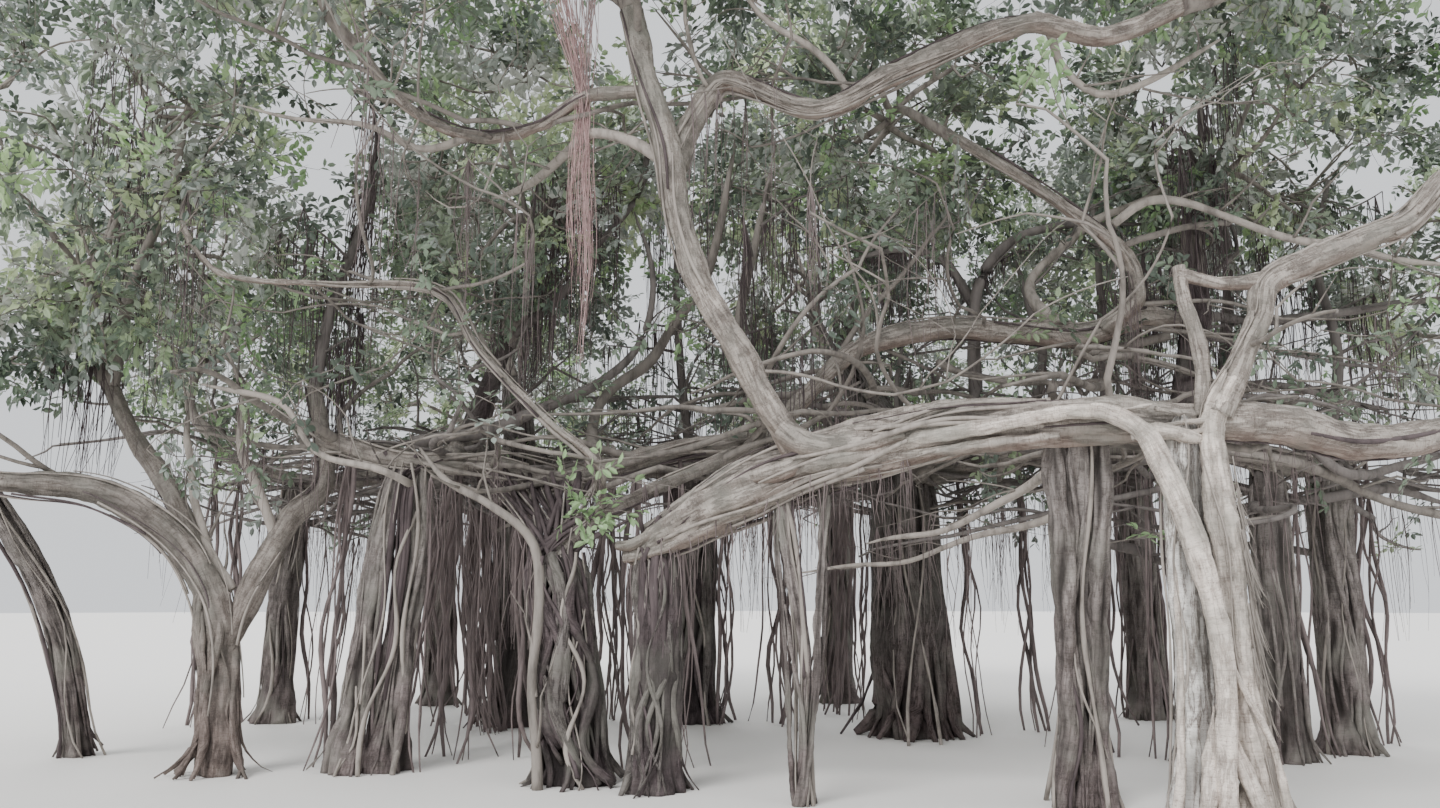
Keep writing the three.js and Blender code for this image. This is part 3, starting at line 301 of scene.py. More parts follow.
# Masses of foliage: centre and half sizes of the space, and the limb whose tip the mass grows from.
MASSES = [
    ("foliage_front_left", [-7.5, 0.8, 8], [2.3, 2.3, 1.5], "cross_bough_left"),
    ("foliage_front_middle", [-3.2, 0.6, 8.35], [2.3, 2.4, 1.4], "rising_limb"),
    ("foliage_front_right", [1.3, 0.9, 8.1], [2.4, 2.4, 1.45], "cross_bough_right"),
    ("foliage_left", [-10.2, 3, 5.9], [2.6, 2.5, 2.4], "stem_left_riser"),
    ("foliage_left_middle", [-6, 4.7, 6.9], [2.2, 2.2, 2.3], "riser_left_middle"),
    ("foliage_middle", [-1.8, 4.8, 7.4], [2.3, 2.3, 2.1], "curved_limb"),
    ("foliage_right_middle", [2.6, 4.4, 7.2], [2.3, 2.3, 2.2], "dark_stem"),
    ("foliage_right", [5.3, 1.3, 6.2], [2.1, 2.5, 2.1], "forked_limb"),
    ("foliage_far_left", [-11.2, 7.7, 5.9], [2.4, 2.5, 2.2], "bough_far_left"),
    ("foliage_back_left", [-6.9, 8.6, 7.1], [2.3, 2.2, 2.3], "trunk_back_left"),
    ("foliage_back_middle", [-2.3, 8.9, 7.3], [2.4, 2.2, 2.3], "trunk_middle"),
    ("foliage_back_right", [2.5, 8.7, 6.9], [2.4, 2.3, 2.3], "bough_back_right"),
    ("foliage_far_right", [6.2, 5.6, 5.6], [2, 2.4, 2.1], "bough_right"),
    ("foliage_rear_left", [-7.6, 12, 5.5], [3.1, 2.2, 2.2], "bough_back_left_corner"),
    ("foliage_rear_right", [-1.2, 12.4, 5.6], [3.1, 2.2, 2.2], "bough_back_middle"),
]

# The sprig at the left bough's end: a foot and the tips of its sprays. No other leaf hangs lower.
SPRIG_FOOT = [-4.86, 1.86, 2.4]
SPRIG_TIPS = [[-5, 1.62, 2.9], [-4.66, 1.56, 2.92], [-4.36, 1.6, 2.7], [-4.3, 1.62, 2.42],
    [-4.72, 1.52, 2.22], [-4.98, 1.56, 2.34], [-4.52, 1.5, 2.26]]
LOWEST_LEAF = 2.15
# What grows on the arch between the left stem and the leaning pillar: route, radius at the root and the tip.
ARCH_RISER = ([[-11.02, 2.42, 3.05], [-11.3, 2.5, 3.6], [-11.25, 2.75, 4.25], [-10.95, 3.1, 5]],
    0.065, 0.035)

# Numbers that the foliage's rule shares with the solids, in metres.
CELL_MARGIN = 0.006
LIMB_CLEARANCE = 0.06
SPRAY_LENGTH = 1.7
SPRAY_WIDTH = 0.98
TWIG_ROOT = 0.042
TWIGS_PER_MASS = 6
SIDE_SPRAYS = [0.36, 0.5, 0.63]

# Numbers of this script's own rules for thin limbs and leaves, in metres.
LIMB_STEP = 0.12  # between points along a thin limb
BARE_FRONT = 1.6  # few roots hang from limbs that start nearer than this
# painted shade: thin limbs that start further in than this get a darker colour
FRONT_DEPTH = 3.45  # thin limbs that start nearer than this are pale
ROOF = 3.2  # thin limbs in the crown stay above it
UNDER_TOP = 1.4  # and this far under the tree's top
EDGE = 0.6  # and this far inside its sides
BEHIND, OVER_HEAD, UNDER_BOUGHS = 2.7, 2.1, 3.6  # thin limbs that lie across keep behind, over and under
LOWEST_FORK = 2.5  # thin limbs that rise into the crown leave the boughs above it
LOWEST_THREAD = 1.2  # roots that hang free end above it
LOWEST_CURTAIN = 2.9  # and those in curtains above this
SHOOT_RUN = 9  # shoots in a row with leaves of one colour
INSIDE = 0.22  # leaves deeper in a mass than this share are larger and lit through

# Boughs between which thin limbs lie across, and boughs that have let thin roots down to the ground.
LOW_HOSTS = ["bough_centre", "bough_right_middle", "bough_back", "bough_left_middle", "wave_bough",
             "bough_far_left", "bough_back_left_corner", "bough_back_middle", "bough_back_right",
             "bough_over_middle"]
ROOT_HOSTS = ["bough_back", "bough_far_left", "bough_back_left_corner", "bough_back_middle",
              "bough_back_right", "bough_right_middle", "bough_left_middle", "wave_bough"]

# Feet that the solids have wider than the roots that show.
SLIM_FEET = {"trunk_middle": 0.5, "trunk_back_left": 0.44, "stem_left": 0.22, "pillar_inner": 0.17,
    "stem_left_arm": 0.08}

# Limbs whose bark is thinner all along than the solid.
SLENDER = {"cross_bough_left": 0.72, "thin_limb_left": 0.66, "stem_left": 0.86, "pillar_leaning": 0.8}

# The split pillar's two stems.
SPLIT_STEMS = [
    ([[-7.24, 2.95, -0.1], [-7.18, 2.97, 0.4], [-7.1, 3, 1.2], [-7, 3.04, 2.2], [-6.9, 3.15, 2.98]],
        [0.2, 0.145, 0.125, 0.125, 0.13]),
    ([[-6.82, 3.08, -0.1], [-6.83, 3.08, 0.4], [-6.77, 3.1, 1.2], [-6.7, 3.14, 2.2], [-6.72, 3.22, 2.98]],
        [0.24, 0.17, 0.14, 0.13, 0.14]),
]

# The forked pillar's stems, apart from each other down to the ground.
FORKED_STEMS = [
    ([[-2.94, 1.2, -0.1], [-2.9, 1.18, 0.6], [-2.88, 1.17, 1.1], [-2.94, 1.16, 1.55], [-3.03, 1.17, 2],
        [-3.08, 1.2, 2.62]], [0.06, 0.042, 0.045, 0.05, 0.058, 0.07]),
    ([[-2.99, 1.18, -0.1], [-3.03, 1.15, 0.5], [-3.05, 1.13, 1], [-3.08, 1.13, 1.6], [-3.13, 1.18, 2.2],
        [-3.1, 1.2, 2.6]], [0.035, 0.023, 0.022, 0.024, 0.026, 0.03]),
    ([[-2.96, 1.13, -0.1], [-2.92, 1.1, 0.35], [-2.93, 1.1, 0.75], [-3, 1.1, 1.15], [-3.06, 1.12, 1.6]],
        [0.032, 0.022, 0.022, 0.02, 0.015]),
    ([[-2.97, 1.13, -0.1], [-2.87, 1.12, 0.5], [-2.81, 1.12, 1], [-2.78, 1.12, 1.6], [-2.69, 1.12, 2.62]],
        [0.05, 0.034, 0.034, 0.038, 0.045]),
    ([[-2.9, 1.22, -0.1], [-2.84, 1.2, 0.6], [-2.74, 1.16, 1.3], [-2.72, 1.16, 1.9], [-2.76, 1.14, 2.6]],
        [0.03, 0.022, 0.022, 0.022, 0.024]),
]

# Limbs of old dark roots; limbs in the open, which keep the pale bark while the other boughs get a darker
# copy of it as painted shade; and limbs near the front, which have finer bark.
DARK = {"dark_stem", "riser_left_middle", "pillar_root_bundle", "pillar_wide", "pillar_dark_stem",
    "pillar_middle_back"}
OPEN_BOUGHS = {"bough_left", "bough_right", "rising_limb", "forked_limb", "cross_bough_left",
    "cross_bough_right", "thin_limb_left", "curved_limb", "bough_over_middle"}
FRONT = {"bough_left", "rising_limb", "forked_limb", "pillar_inner", "bough_right", "pillar_wide",
    "pillar_root_bundle", "cross_bough_right", "stem_left", "pillar_split", "pillar_forked"}


# Numbers


def seeded(seed):
    """A seeded stream of numbers between 0 and 1, the one that the solids use."""
    state = seed

    def draw():
        nonlocal state
        state = (state + 0x6D2B79F5) & 0xFFFFFFFF
        mixed = ((state ^ (state >> 15)) * (state | 1)) & 0xFFFFFFFF
        more = ((mixed ^ (mixed >> 7)) * (mixed | 61)) & 0xFFFFFFFF
        mixed = mixed ^ ((mixed + more) & 0xFFFFFFFF)
        return (mixed ^ (mixed >> 14)) / 4294967296

    return draw


def along(values, t):
    """Reads a short list of values as a smooth profile from 0 to 1."""
    values = np.asarray(values, float)
    place = np.minimum(t, 0.999999) * (len(values) - 1)
    i = np.floor(place).astype(int)
    k = place - i
    eased = k * k * (3 - 2 * k)
    return values[i] + (values[np.minimum(i + 1, len(values) - 1)] - values[i]) * eased


def profile(thick):
    """A limb's thickness along it, as a function, from a short list."""
    return lambda t: along(thick, t)


def wave(t, slow, fast, rng):
    """A sine wave along t with a random pace and start."""
    return np.sin(TAU * (t * rng.uniform(slow, fast) + rng.random()))


def unit(v):
    """The vectors at length 1."""
    return v / np.maximum(np.linalg.norm(v, axis=-1, keepdims=True), 1e-9)


class Ripple:
    """Smooth seeded noise in space: a sum of sine waves that run in random directions."""

    def __init__(self, seed, waves=18):
        rng = np.random.default_rng(seed)
        self.ways = unit(rng.normal(size=(waves, 3))) * rng.uniform(0.5, 1.6, (waves, 1)) * TAU
        self.phases = rng.uniform(0, TAU, waves)

    def __call__(self, points, scale):
        """The noise at some points, about 1 high, finer with a larger scale."""
        scaled = points * np.asarray(scale, float)
        return np.sin(scaled @ self.ways.T + self.phases).sum(-1) * math.sqrt(2 / len(self.phases))


class Line:
    """A smooth curve through points, read by the share of its length. It bends as the solids' curves do."""

    def __init__(self, points, fine=240):
        p = np.asarray(points, float)
        ends = np.vstack([2 * p[0] - p[1], p, 2 * p[-1] - p[-2]])
        place = np.linspace(0, len(p) - 1, fine + 1)
        i = np.minimum(place.astype(int), len(p) - 2)
        w = (place - i)[:, None]
        a, b, c, d = (ends[i + k] for k in range(4))
        sides = ((a, b), (b, c), (c, d))
        step = [np.maximum(np.linalg.norm(y - x, axis=1), 1e-8)[:, None] ** 0.5 for x, y in sides]
        out = ((b - a) / step[0] - (c - a) / (step[0] + step[1]) + (c - b) / step[1]) * step[1]
        into = ((c - b) / step[1] - (d - b) / (step[1] + step[2]) + (d - c) / step[2]) * step[1]
        self.points = (b + out * w + (-3 * b + 3 * c - 2 * out - into) * w ** 2
                       + (2 * b - 2 * c + out + into) * w ** 3)
        run = np.concatenate([[0], np.cumsum(np.linalg.norm(np.diff(self.points, axis=0), axis=1))])
        self.length = run[-1]
        self.share = run / run[-1]

    def at(self, t):
        """The points at shares of the length."""
        return np.stack([np.interp(t, self.share, self.points[:, k]) for k in range(3)], -1)

    def heading(self, t):
        """The directions of growth at shares of the length."""
        t = np.asarray(t, float)
        return unit(self.at(np.minimum(t + 0.004, 1)) - self.at(np.maximum(t - 0.004, 0)))

    def above_ground(self):
        """The share of the length at which the curve comes out of the ground."""
        under = np.nonzero(self.points[:, 2] < 0)[0]
        if len(under) == 0:
            return 0.0
        k = under[-1]
        low, high = self.points[k, 2], self.points[k + 1, 2]
        return float(self.share[k] + (self.share[k + 1] - self.share[k]) * (-low / (high - low)))

    def frames(self, t):
        """Points, and two directions across the curve that turn no more than they must."""
        at, heading = self.at(t), self.heading(t)
        first = np.array([1.0, 0, 0]) if abs(heading[0][0]) < 0.8 else np.array([0, 0, 1.0])
        across = np.empty_like(at)
        across[0] = unit(first - heading[0] * (first @ heading[0]))
        for k in range(1, len(t)):
            across[k] = unit(across[k - 1] - heading[k] * (across[k - 1] @ heading[k]))
        return at, across, np.cross(heading, across)


def pillar_line(foot, head, lean):
    """The middle line of a pillar, from a little under the ground."""
    low, high = np.array([*foot, -0.12]), np.array(head, float)
    return Line([low, (low + high) / 2 + np.array([*lean, 0]), high])


def pillar_radius(width, flare):
    """A pillar's half thickness along its length, as a function."""
    return lambda t: 0.5 * width * (1 + (flare - 1) * np.maximum(0, 1 - t / 0.18) ** 2) * (1 - 0.12 * t)


def pillar_shape(name):
    """A pillar's middle line and its half thickness along it."""
    foot, head, width, _, flare, lean = PILLARS[name]
    return pillar_line(foot, head, lean), pillar_radius(width, flare)


def toe_route(i, angle):
    """One root toe of the trunk, from its end in the ground: its route and its radii."""
    reach = 0.62 + 0.08 * math.sin(3 * i)
    spots = [(reach, -0.06), (0.36, 0.16), (0.16, 0.55)]
    return [[math.cos(angle) * out, math.sin(angle) * out * 0.8, z] for out, z in spots], TOE_RADII


def tassel_routes():
    """The tassel's strands: a route each."""
    x, y, top, bottom, width, strands = TASSEL.values()
    routes = []
    for i in range(strands):
        angle = TAU * i / strands
        low = bottom + 0.3 * i
        spots = [(0.02, top), (0.5 * width, 0.5 * (top + low)), (0.12 * width, low)]
        routes.append([[x + math.cos(angle) * out, y + math.sin(angle) * out, z] for out, z in spots])
    return routes


def every_limb():
    """Each limb's line and radius function, in the order in which the solids are made."""
    toes = [toe_route(i, angle) for i, angle in enumerate(TOE_ANGLES)]
    shapes = [*TRUNK_STEMS, *toes, *BOUGHS.values(), *(spur[1:] for spur in SPURS)]
    rows = [(Line(route), profile(thick)) for route, thick in shapes]
    rows += [pillar_shape(name) for name in PILLARS]
    rows += [(Line(route), lambda t: 0.05 - 0.034 * t) for route in tassel_routes()]
    return rows


def is_pillar(name):
    """Whether a limb is a root pillar."""
    return name.startswith("pillar")


def slimmed(name, thick):
    """A limb's radii as its bark has them, where the solid is thicker."""
    return [SLENDER.get(name, 1) * radius for radius in (SLIM_FEET.get(name, thick[0]), *thick[1:])]


# Mesh making


def deselect():
    """Nothing selected and nothing in edit mode."""
    if bpy.context.object and bpy.context.object.mode != "OBJECT":
        bpy.ops.object.mode_set(mode="OBJECT")
    bpy.ops.object.select_all(action="DESELECT")


def mark_points(mesh, values):
    """Puts values on a mesh's points as attributes: one number each, or three."""
    for name, value in values.items():
        kind, field = ("FLOAT_VECTOR", "vector") if value.ndim == 2 else ("FLOAT", "value")
        layer = mesh.attributes.new(name, kind, "POINT")
        layer.data.foreach_set(field, value.astype(np.float32).ravel())


def wrapped_grid(points, values):
    """A grid of faces wrapped round into a closed limb, from rows of points and values for each."""
    rings, sides = points.shape[0] - 1, points.shape[1]
    deselect()
    bpy.ops.mesh.primitive_grid_add(x_subdivisions=sides, y_subdivisions=rings, size=2)
    limb = bpy.context.object
    mesh = limb.data
    flat = np.empty(len(mesh.vertices) * 3, np.float32)
    mesh.vertices.foreach_get("co", flat)
    flat = flat.reshape(-1, 3)
    side = np.rint((flat[:, 0] + 1) / 2 * sides).astype(int) % sides
    ring = np.rint((flat[:, 1] + 1) / 2 * rings).astype(int)
    mesh.vertices.foreach_set("co", points[ring, side].astype(np.float32).ravel())
    mark_points(mesh, {name: value[ring, side] for name, value in values.items()})
    bpy.ops.object.mode_set(mode="EDIT")
    bpy.ops.mesh.select_all(action="SELECT")
    bpy.ops.mesh.remove_doubles(threshold=1e-6)
    bpy.ops.mesh.fill_holes(sides=0)
    bpy.ops.mesh.select_all(action="SELECT")
    bpy.ops.mesh.normals_make_consistent(inside=False)
    bpy.ops.object.mode_set(mode="OBJECT")
    return limb


def joined(limbs, name):
    """Several meshes as one piece."""
    deselect()
    for limb in limbs:
        limb.select_set(True)
    bpy.context.view_layer.objects.active = limbs[0]
    if len(limbs) > 1:
        bpy.ops.object.join()
    piece = bpy.context.object
    piece.name = name
    piece.data.name = name
    while piece.data.uv_layers:
        piece.data.uv_layers.remove(piece.data.uv_layers[0])
    bpy.ops.object.shade_smooth()
    return piece


def piece_of(name, points, *face_sets, values=None, smooth=True):
    """A mesh of many small things, from arrays. Each set of faces has its own number of corners."""
    mesh = bpy.data.meshes.new(name)
    mesh.vertices.add(len(points))
    mesh.vertices.foreach_set("co", np.ascontiguousarray(points, np.float32).ravel())
    corners = np.concatenate([np.full(len(faces), faces.shape[1]) for faces in face_sets])
    mesh.loops.add(int(corners.sum()))
    order = np.concatenate([faces.ravel() for faces in face_sets])
    mesh.loops.foreach_set("vertex_index", order.astype(np.int32))
    mesh.polygons.add(len(corners))
    mesh.polygons.foreach_set("loop_start", (np.cumsum(corners) - corners).astype(np.int32))
    mesh.polygons.foreach_set("use_smooth", np.full(len(corners), smooth))
    mesh.update()
    mark_points(mesh, values or {})
    mesh.validate()
    piece = bpy.data.objects.new(name, mesh)
    bpy.context.scene.collection.objects.link(piece)
    return piece


def relief(piece, depth=0.02, size=0.12):
    """Knobs and dents in a piece's surface, put in for good."""
    texture = bpy.data.textures.new(f"{piece.name}_knobs", "CLOUDS")
    texture.noise_scale = size
    bpy.context.view_layer.objects.active = piece
    modifier = piece.modifiers.new("knobs", "DISPLACE")
    modifier.texture = texture
    modifier.texture_coords = "LOCAL"
    modifier.strength = depth
    # what stands on the ground stays flat on it
    place = np.empty(len(piece.data.vertices) * 3, np.float32)
    piece.data.vertices.foreach_get("co", place)
    low = place[2::3] < 1e-4
    bpy.ops.object.modifier_apply(modifier=modifier.name)
    piece.data.vertices.foreach_get("co", place)
    place[2::3] = np.where(low, 0, np.maximum(place[2::3], 0))
    piece.data.vertices.foreach_set("co", place)


def dress(piece, material, slot, *nodes):
    """Gives a piece its material, and says what it rides on and stands for."""
    piece.data.materials.clear()
    piece.data.materials.append(material)
    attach(piece, "root")
    if nodes:
        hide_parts(*nodes)
    return piece


# Bark


def bark_skin(line, radius, seed, sides, spacing, strands=12, core=0.78, ring=0.62, wander=0.35, twist=0.4,
              toes=0.0, rough=1.0, lumps=0.06, thin=0.22, wide=0.46, shadow=1.0):
    """One limb's skin: roots grown together, each a ridge that winds along it, with creases between them."""
    rng = np.random.default_rng(seed)
    start = line.above_ground()
    length = line.length * (1 - start)
    rings = max(6, int(length / spacing))
    t = start + (1 - start) * np.linspace(0, 1, rings + 1)
    at, across, side_way = line.frames(t)
    if start > 0:
        # the lowest rings lie level, so that the foot is flat on the ground
        level = np.clip(1 - (at[:, 2] / 0.5), 0, 1)[:, None]
        across = unit(across * (1 - level) + np.array([1.0, 0, 0]) * level)
        side_way = unit(side_way * (1 - level) + np.array([0, 1.0, 0]) * level)
    thick = radius(t)
    theta = np.linspace(0, TAU, sides, endpoint=False)
    s = length * np.linspace(0, 1, rings + 1)
    foot = near_ground(at, 0.55) if toes else np.zeros(rings + 1)

    reach = np.full((rings + 1, sides), core) * thick[:, None]
    for k in range(strands):
        wind = twist * rng.uniform(0.6, 1.4) * s / max(length, 0.5)
        sway = wander * (wave(s, 0.25, 0.7, rng) + 0.5 * wave(s, 0.8, 1.6, rng))
        angle = TAU * (k + 0.7 * rng.random()) / strands + wind + sway
        width = thick * rng.uniform(thin, wide) * (1 + 0.2 * wave(s, 0.3, 0.9, rng))
        out = thick * ring * rng.uniform(0.86, 1.12) * (1 + toes * rng.uniform(0.2, 1.3) * foot)
        gap = theta[None, :] - angle[:, None]
        near = np.cos(gap)
        apart = out[:, None] * np.sin(gap)
        square = width[:, None] ** 2 - apart ** 2
        hit = np.where((square > 0) & (near > 0), out[:, None] * near + np.sqrt(np.maximum(square, 0)), 0)
        reach = np.maximum(reach, hit)
    reach = (np.roll(reach, 1, 1) + np.roll(reach, -1, 1) + 2 * reach) / 4

    grain_angle = theta[None, :] - (twist * s / max(length, 0.5))[:, None]
    grain = np.stack([np.cos(grain_angle) * thick[:, None], np.sin(grain_angle) * thick[:, None],
                      np.broadcast_to(s[:, None], reach.shape) + 7.0 * rng.random()], -1)
    coarse, fine = Ripple(seed + 1), Ripple(seed + 2)
    swell = 1 + lumps * coarse(grain, [1.6 / max(thick.mean(), 0.05) * 0.12] * 3)
    swell += 0.35 * lumps * fine(grain, [5.0, 5.0, 1.6])
    ridge = rough * (0.0035 * fine(grain, [28.0, 28.0, 3.2]) + 0.0016 * coarse(grain, [9.0, 9.0, 34.0]))
    # painted shade: this value is low where the skin lies deep between the strands, and the bark's colour is
    # darkened there; shadow lowers it all over
    crease_shading = shadow * np.clip(reach / thick[:, None], 0, 1.4)
    outward = (np.cos(theta)[None, :, None] * across[:, None]
               + np.sin(theta)[None, :, None] * side_way[:, None])
    reach = reach * swell + ridge * np.clip(thick[:, None] / 0.12, 0.4, 1.2)
    rest = np.linspace(0, 1, rings + 1)
    close = 1 - (0.5 * np.clip((rest - 0.93) / 0.07, 0, 1) ** 2 if toes else 0 * rest)
    points = at[:, None] + reach[..., None] * close[:, None, None] * outward
    points[..., 2] = np.maximum(points[..., 2], 0)
    if start > 0:
        points[0, :, 2] = 0
    underside = np.maximum(-outward[..., 2], 0)
    return wrapped_grid(points, {"grain": grain, "crease_shading": crease_shading, "underside": underside})


# Kinds of bark: the number of strands, how they wind, their sizes as shares of the limb's thickness, and how
# far shadow deepens the painted shade in the creases.
STYLES = {
    "smooth": dict(strands=4, core=0.92, ring=0.5, wander=0.4, twist=0.7, rough=0.4, lumps=0.08,
                   thin=0.2, wide=0.42),
    "braided": dict(strands=10, core=0.72, wander=0.26, twist=1.2, rough=0.6, lumps=0.07, thin=0.24),
    "pillar": dict(strands=16, core=0.56, ring=0.66, wander=0.16, twist=0.5, toes=0.3, rough=0.8,
                   lumps=0.08, thin=0.12, wide=0.34, shadow=0.82),
    "melted": dict(strands=9, core=0.6, ring=0.58, wander=0.32, twist=0.8, toes=0.3, rough=0.5,
                   lumps=0.1, thin=0.24, shadow=0.92),
    "stem": dict(strands=8, core=0.76, ring=0.58, wander=0.25, twist=0.3, toes=0.1, rough=0.7,
                 lumps=0.08, thin=0.16),
    "slab": dict(strands=9, core=0.7, ring=0.6, wander=0.1, twist=0.05, toes=0.2, rough=0.5, lumps=0.09,
                 thin=0.14, wide=0.38),
    "peeling": dict(strands=3, core=0.95, ring=0.46, wander=0.3, twist=0.5, toes=0.2, rough=0.3, lumps=0.05),
    "shaggy": dict(strands=9, core=0.8, ring=0.6, wander=0.2, toes=0.5, thin=0.14, wide=0.34),
}


def style_of(name):
    """How a limb's bark is grown."""
    if name in ("pillar_inner", "pillar_right_b", "pillar_split", "pillar_forked"):
        return "melted"
    if name.startswith("pillar") or name.startswith("trunk_"):
        return "pillar"
    if name in ("bough_left", "bough_centre", "bough_back", "dark_stem"):
        return "braided"
    return "stem" if name == "stem_left" else "smooth"


def limb_bark(name, line, radius, seed, **changes):
    """One limb's skin in its own style, finer on the limbs of the open front."""
    style = {**STYLES[style_of(name)], **changes}
    near = name in FRONT
    mean = float(np.mean(radius(np.linspace(0.1, 1, 12))))
    sides = int(np.clip(mean * (480 if near else 300), 20 if near else 12, 96 if near else 66))
    spacing = 0.024 if near else 0.045
    return bark_skin(line, radius, seed, sides, spacing, **style)


# Materials


def material_nodes(name):
    """An empty material with its shader: its node tree, a maker of nodes, and the shader."""
    material = bpy.data.materials.new(name)
    material.use_nodes = True
    tree = material.node_tree
    tree.nodes.clear()
    output = tree.nodes.new("ShaderNodeOutputMaterial")
    shader = tree.nodes.new("ShaderNodeBsdfPrincipled")
    tree.links.new(shader.outputs["BSDF"], output.inputs["Surface"])

    def add(kind, inputs=None, **settings):
        node = tree.nodes.new(kind)
        for key, value in settings.items():
            setattr(node, key, value)
        for key, value in (inputs or {}).items():
            if isinstance(value, bpy.types.NodeSocket):
                tree.links.new(value, node.inputs[key])
            else:
                node.inputs[key].default_value = value
        return node

    return material, tree, add, shader


def ramp(add, factor, stops):
    """A colour ramp with stops of place and colour."""
    node = add("ShaderNodeValToRGB", {"Fac": factor})
    while len(node.color_ramp.elements) < len(stops):
        node.color_ramp.elements.new(0.5)
    for element, (place, colour) in zip(node.color_ramp.elements, stops):
        element.position = place
        element.color = (*colour, 1)
    return node.outputs["Color"]


def shade(colour, by):
    """A colour made lighter or darker."""
    return tuple(min(1.0, c * by) for c in colour)


def bark_material(name, pale, dark, stain, low=None, underside_shade=None, streaky=0.45, bump=0.6):
    """Mottled bark: streaks along the limb, wrinkles across it, stains, painted shade in the creases and on
    the undersides, and a darker tint towards the ground.
    """
    material, tree, add, shader = material_nodes(name)
    grain = add("ShaderNodeAttribute", attribute_name="grain").outputs["Vector"]
    crease_shading = add("ShaderNodeAttribute", attribute_name="crease_shading").outputs["Fac"]
    place = add("ShaderNodeTexCoord").outputs["Object"]

    def noise(vector, scale, detail, roughness=0.6):
        if isinstance(scale, tuple):
            vector = add("ShaderNodeMapping", {"Vector": vector, "Scale": scale}).outputs["Vector"]
            scale = 1.0
        return add("ShaderNodeTexNoise", {"Vector": vector, "Scale": scale, "Detail": detail,
                                          "Roughness": roughness}).outputs["Fac"]

    def over(a, b, factor, blend="MULTIPLY"):
        return add("ShaderNodeMix", {"Factor": factor, "A": a, "B": b}, data_type="RGBA",
                   blend_type=blend).outputs["Result"]

    cloud, streak = noise(place, 5.5, 7.0, 0.66), noise(grain, (24, 24, 2.8), 5.0)
    wrinkle, patch = noise(grain, (8, 8, 80), 4.0, 0.7), noise(place, 1.6, 4.0)
    speck, crack = noise(grain, (42, 42, 95), 2.0), noise(grain, (11, 11, 1.9), 6.0, 0.7)
    colour = ramp(add, cloud, [(0.3, shade(pale, 0.52)), (0.5, pale), (0.68, shade(pale, 1.3))])
    white, black, cleft = (1, 1, 1), (0, 0, 0), shade(dark, 2.2)
    clefts = ramp(add, crack, [(0.455, white), (0.485, cleft), (0.5, cleft), (0.53, white)])
    colour = over(colour, clefts, streaky)
    colour = over(colour, ramp(add, streak, [(0.34, (0.42, 0.38, 0.36)), (0.5, white)]), streaky)
    colour = over(colour, ramp(add, wrinkle, [(0.38, (0.6, 0.57, 0.55)), (0.48, white)]), 0.55)
    colour = over(colour, ramp(add, speck, [(0.32, (0.5, 0.46, 0.44)), (0.4, white)]), 0.7)
    # darker and a little redder towards the ground, blotched by the stain patches
    if low:
        rise = add("ShaderNodeSeparateXYZ", {"Vector": place}).outputs["Z"]
        mottled = add("ShaderNodeMath", {0: rise, 1: patch}, operation="ADD").outputs[0]
        low_tint_share = add("ShaderNodeMapRange", {"Value": mottled, "From Min": 0.7, "From Max": 2.6,
                                          "To Min": 0.9, "To Max": 0.0}).outputs["Result"]
        colour = over(colour, (*low, 1), low_tint_share)
    # painted shade on the undersides: a darker reddish brown laid where the surface faces down, in patches
    if underside_shade:
        under = add("ShaderNodeAttribute", attribute_name="underside").outputs["Fac"]
        under_mottle = add("ShaderNodeMath", {0: under, 1: 0.55, 2: patch}, operation="MULTIPLY_ADD").outputs[0]
        under_shade_share = ramp(add, under_mottle, [(0.66, black), (0.95, (0.55, 0.55, 0.55))])
        colour = over(colour, (*underside_shade, 1), under_shade_share, "MIX")
    stained = ramp(add, patch, [(0.46, black), (0.66, (0.8, 0.8, 0.8))])
    colour = over(colour, (*stain, 1), stained, "MIX")
    # painted shade in the creases: the colour goes towards the dark bark's tone where the skin lies deep
    # between the strands
    deep = ramp(add, crease_shading, [(0.58, (0.92, 0.92, 0.92)), (0.9, black)])
    colour = over(colour, (*shade(dark, 0.35), 1), deep, "MIX")
    tree.links.new(colour, shader.inputs["Base Color"])
    shader.inputs["Roughness"].default_value = 0.86
    shader.inputs["Specular IOR Level"].default_value = 0.25
    edge = ramp(add, crack, [(0.45, white), (0.485, black), (0.5, black), (0.54, white)])
    height = wrinkle
    for layer, share in ((edge, 0.7), (streak, 0.8), (cloud, 1.3)):
        height = add("ShaderNodeMath", {0: layer, 1: share, 2: height}, operation="MULTIPLY_ADD").outputs[0]
    wrinkled = add("ShaderNodeBump", {"Height": height, "Strength": bump, "Distance": 0.014})
    tree.links.new(wrinkled.outputs["Normal"], shader.inputs["Normal"])
    return material


def root_material(name, pale, dark):
    """Thin roots and twigs, streaked from one place to the next."""
    material, tree, add, shader = material_nodes(name)
    place = add("ShaderNodeTexCoord").outputs["Object"]
    stretched = add("ShaderNodeMapping", {"Vector": place, "Scale": (9, 9, 2.2)}).outputs["Vector"]
    noise = add("ShaderNodeTexNoise", {"Vector": stretched, "Scale": 1.0, "Detail": 4.0, "Roughness": 0.65})
    colour = ramp(add, noise.outputs["Fac"], [(0.32, dark), (0.52, shade(pale, 0.85)), (0.7, pale)])
    tree.links.new(colour, shader.inputs["Base Color"])
    shader.inputs["Roughness"].default_value = 0.9
    shader.inputs["Specular IOR Level"].default_value = 0.2
    return material


def plain_material(name, colour, roughness):
    """One colour all over, for a leaf or the stage's floor."""
    material, _, _, shader = material_nodes(name)
    shader.inputs["Base Color"].default_value = (*colour, 1)
    shader.inputs["Roughness"].default_value = roughness
    return material


# Growth: twigs, sprays and hanging roots


def half_width(length):
    """Half the width of one of the rule's sprays, by its length."""
    return 0.5 * SPRAY_WIDTH * length / SPRAY_LENGTH


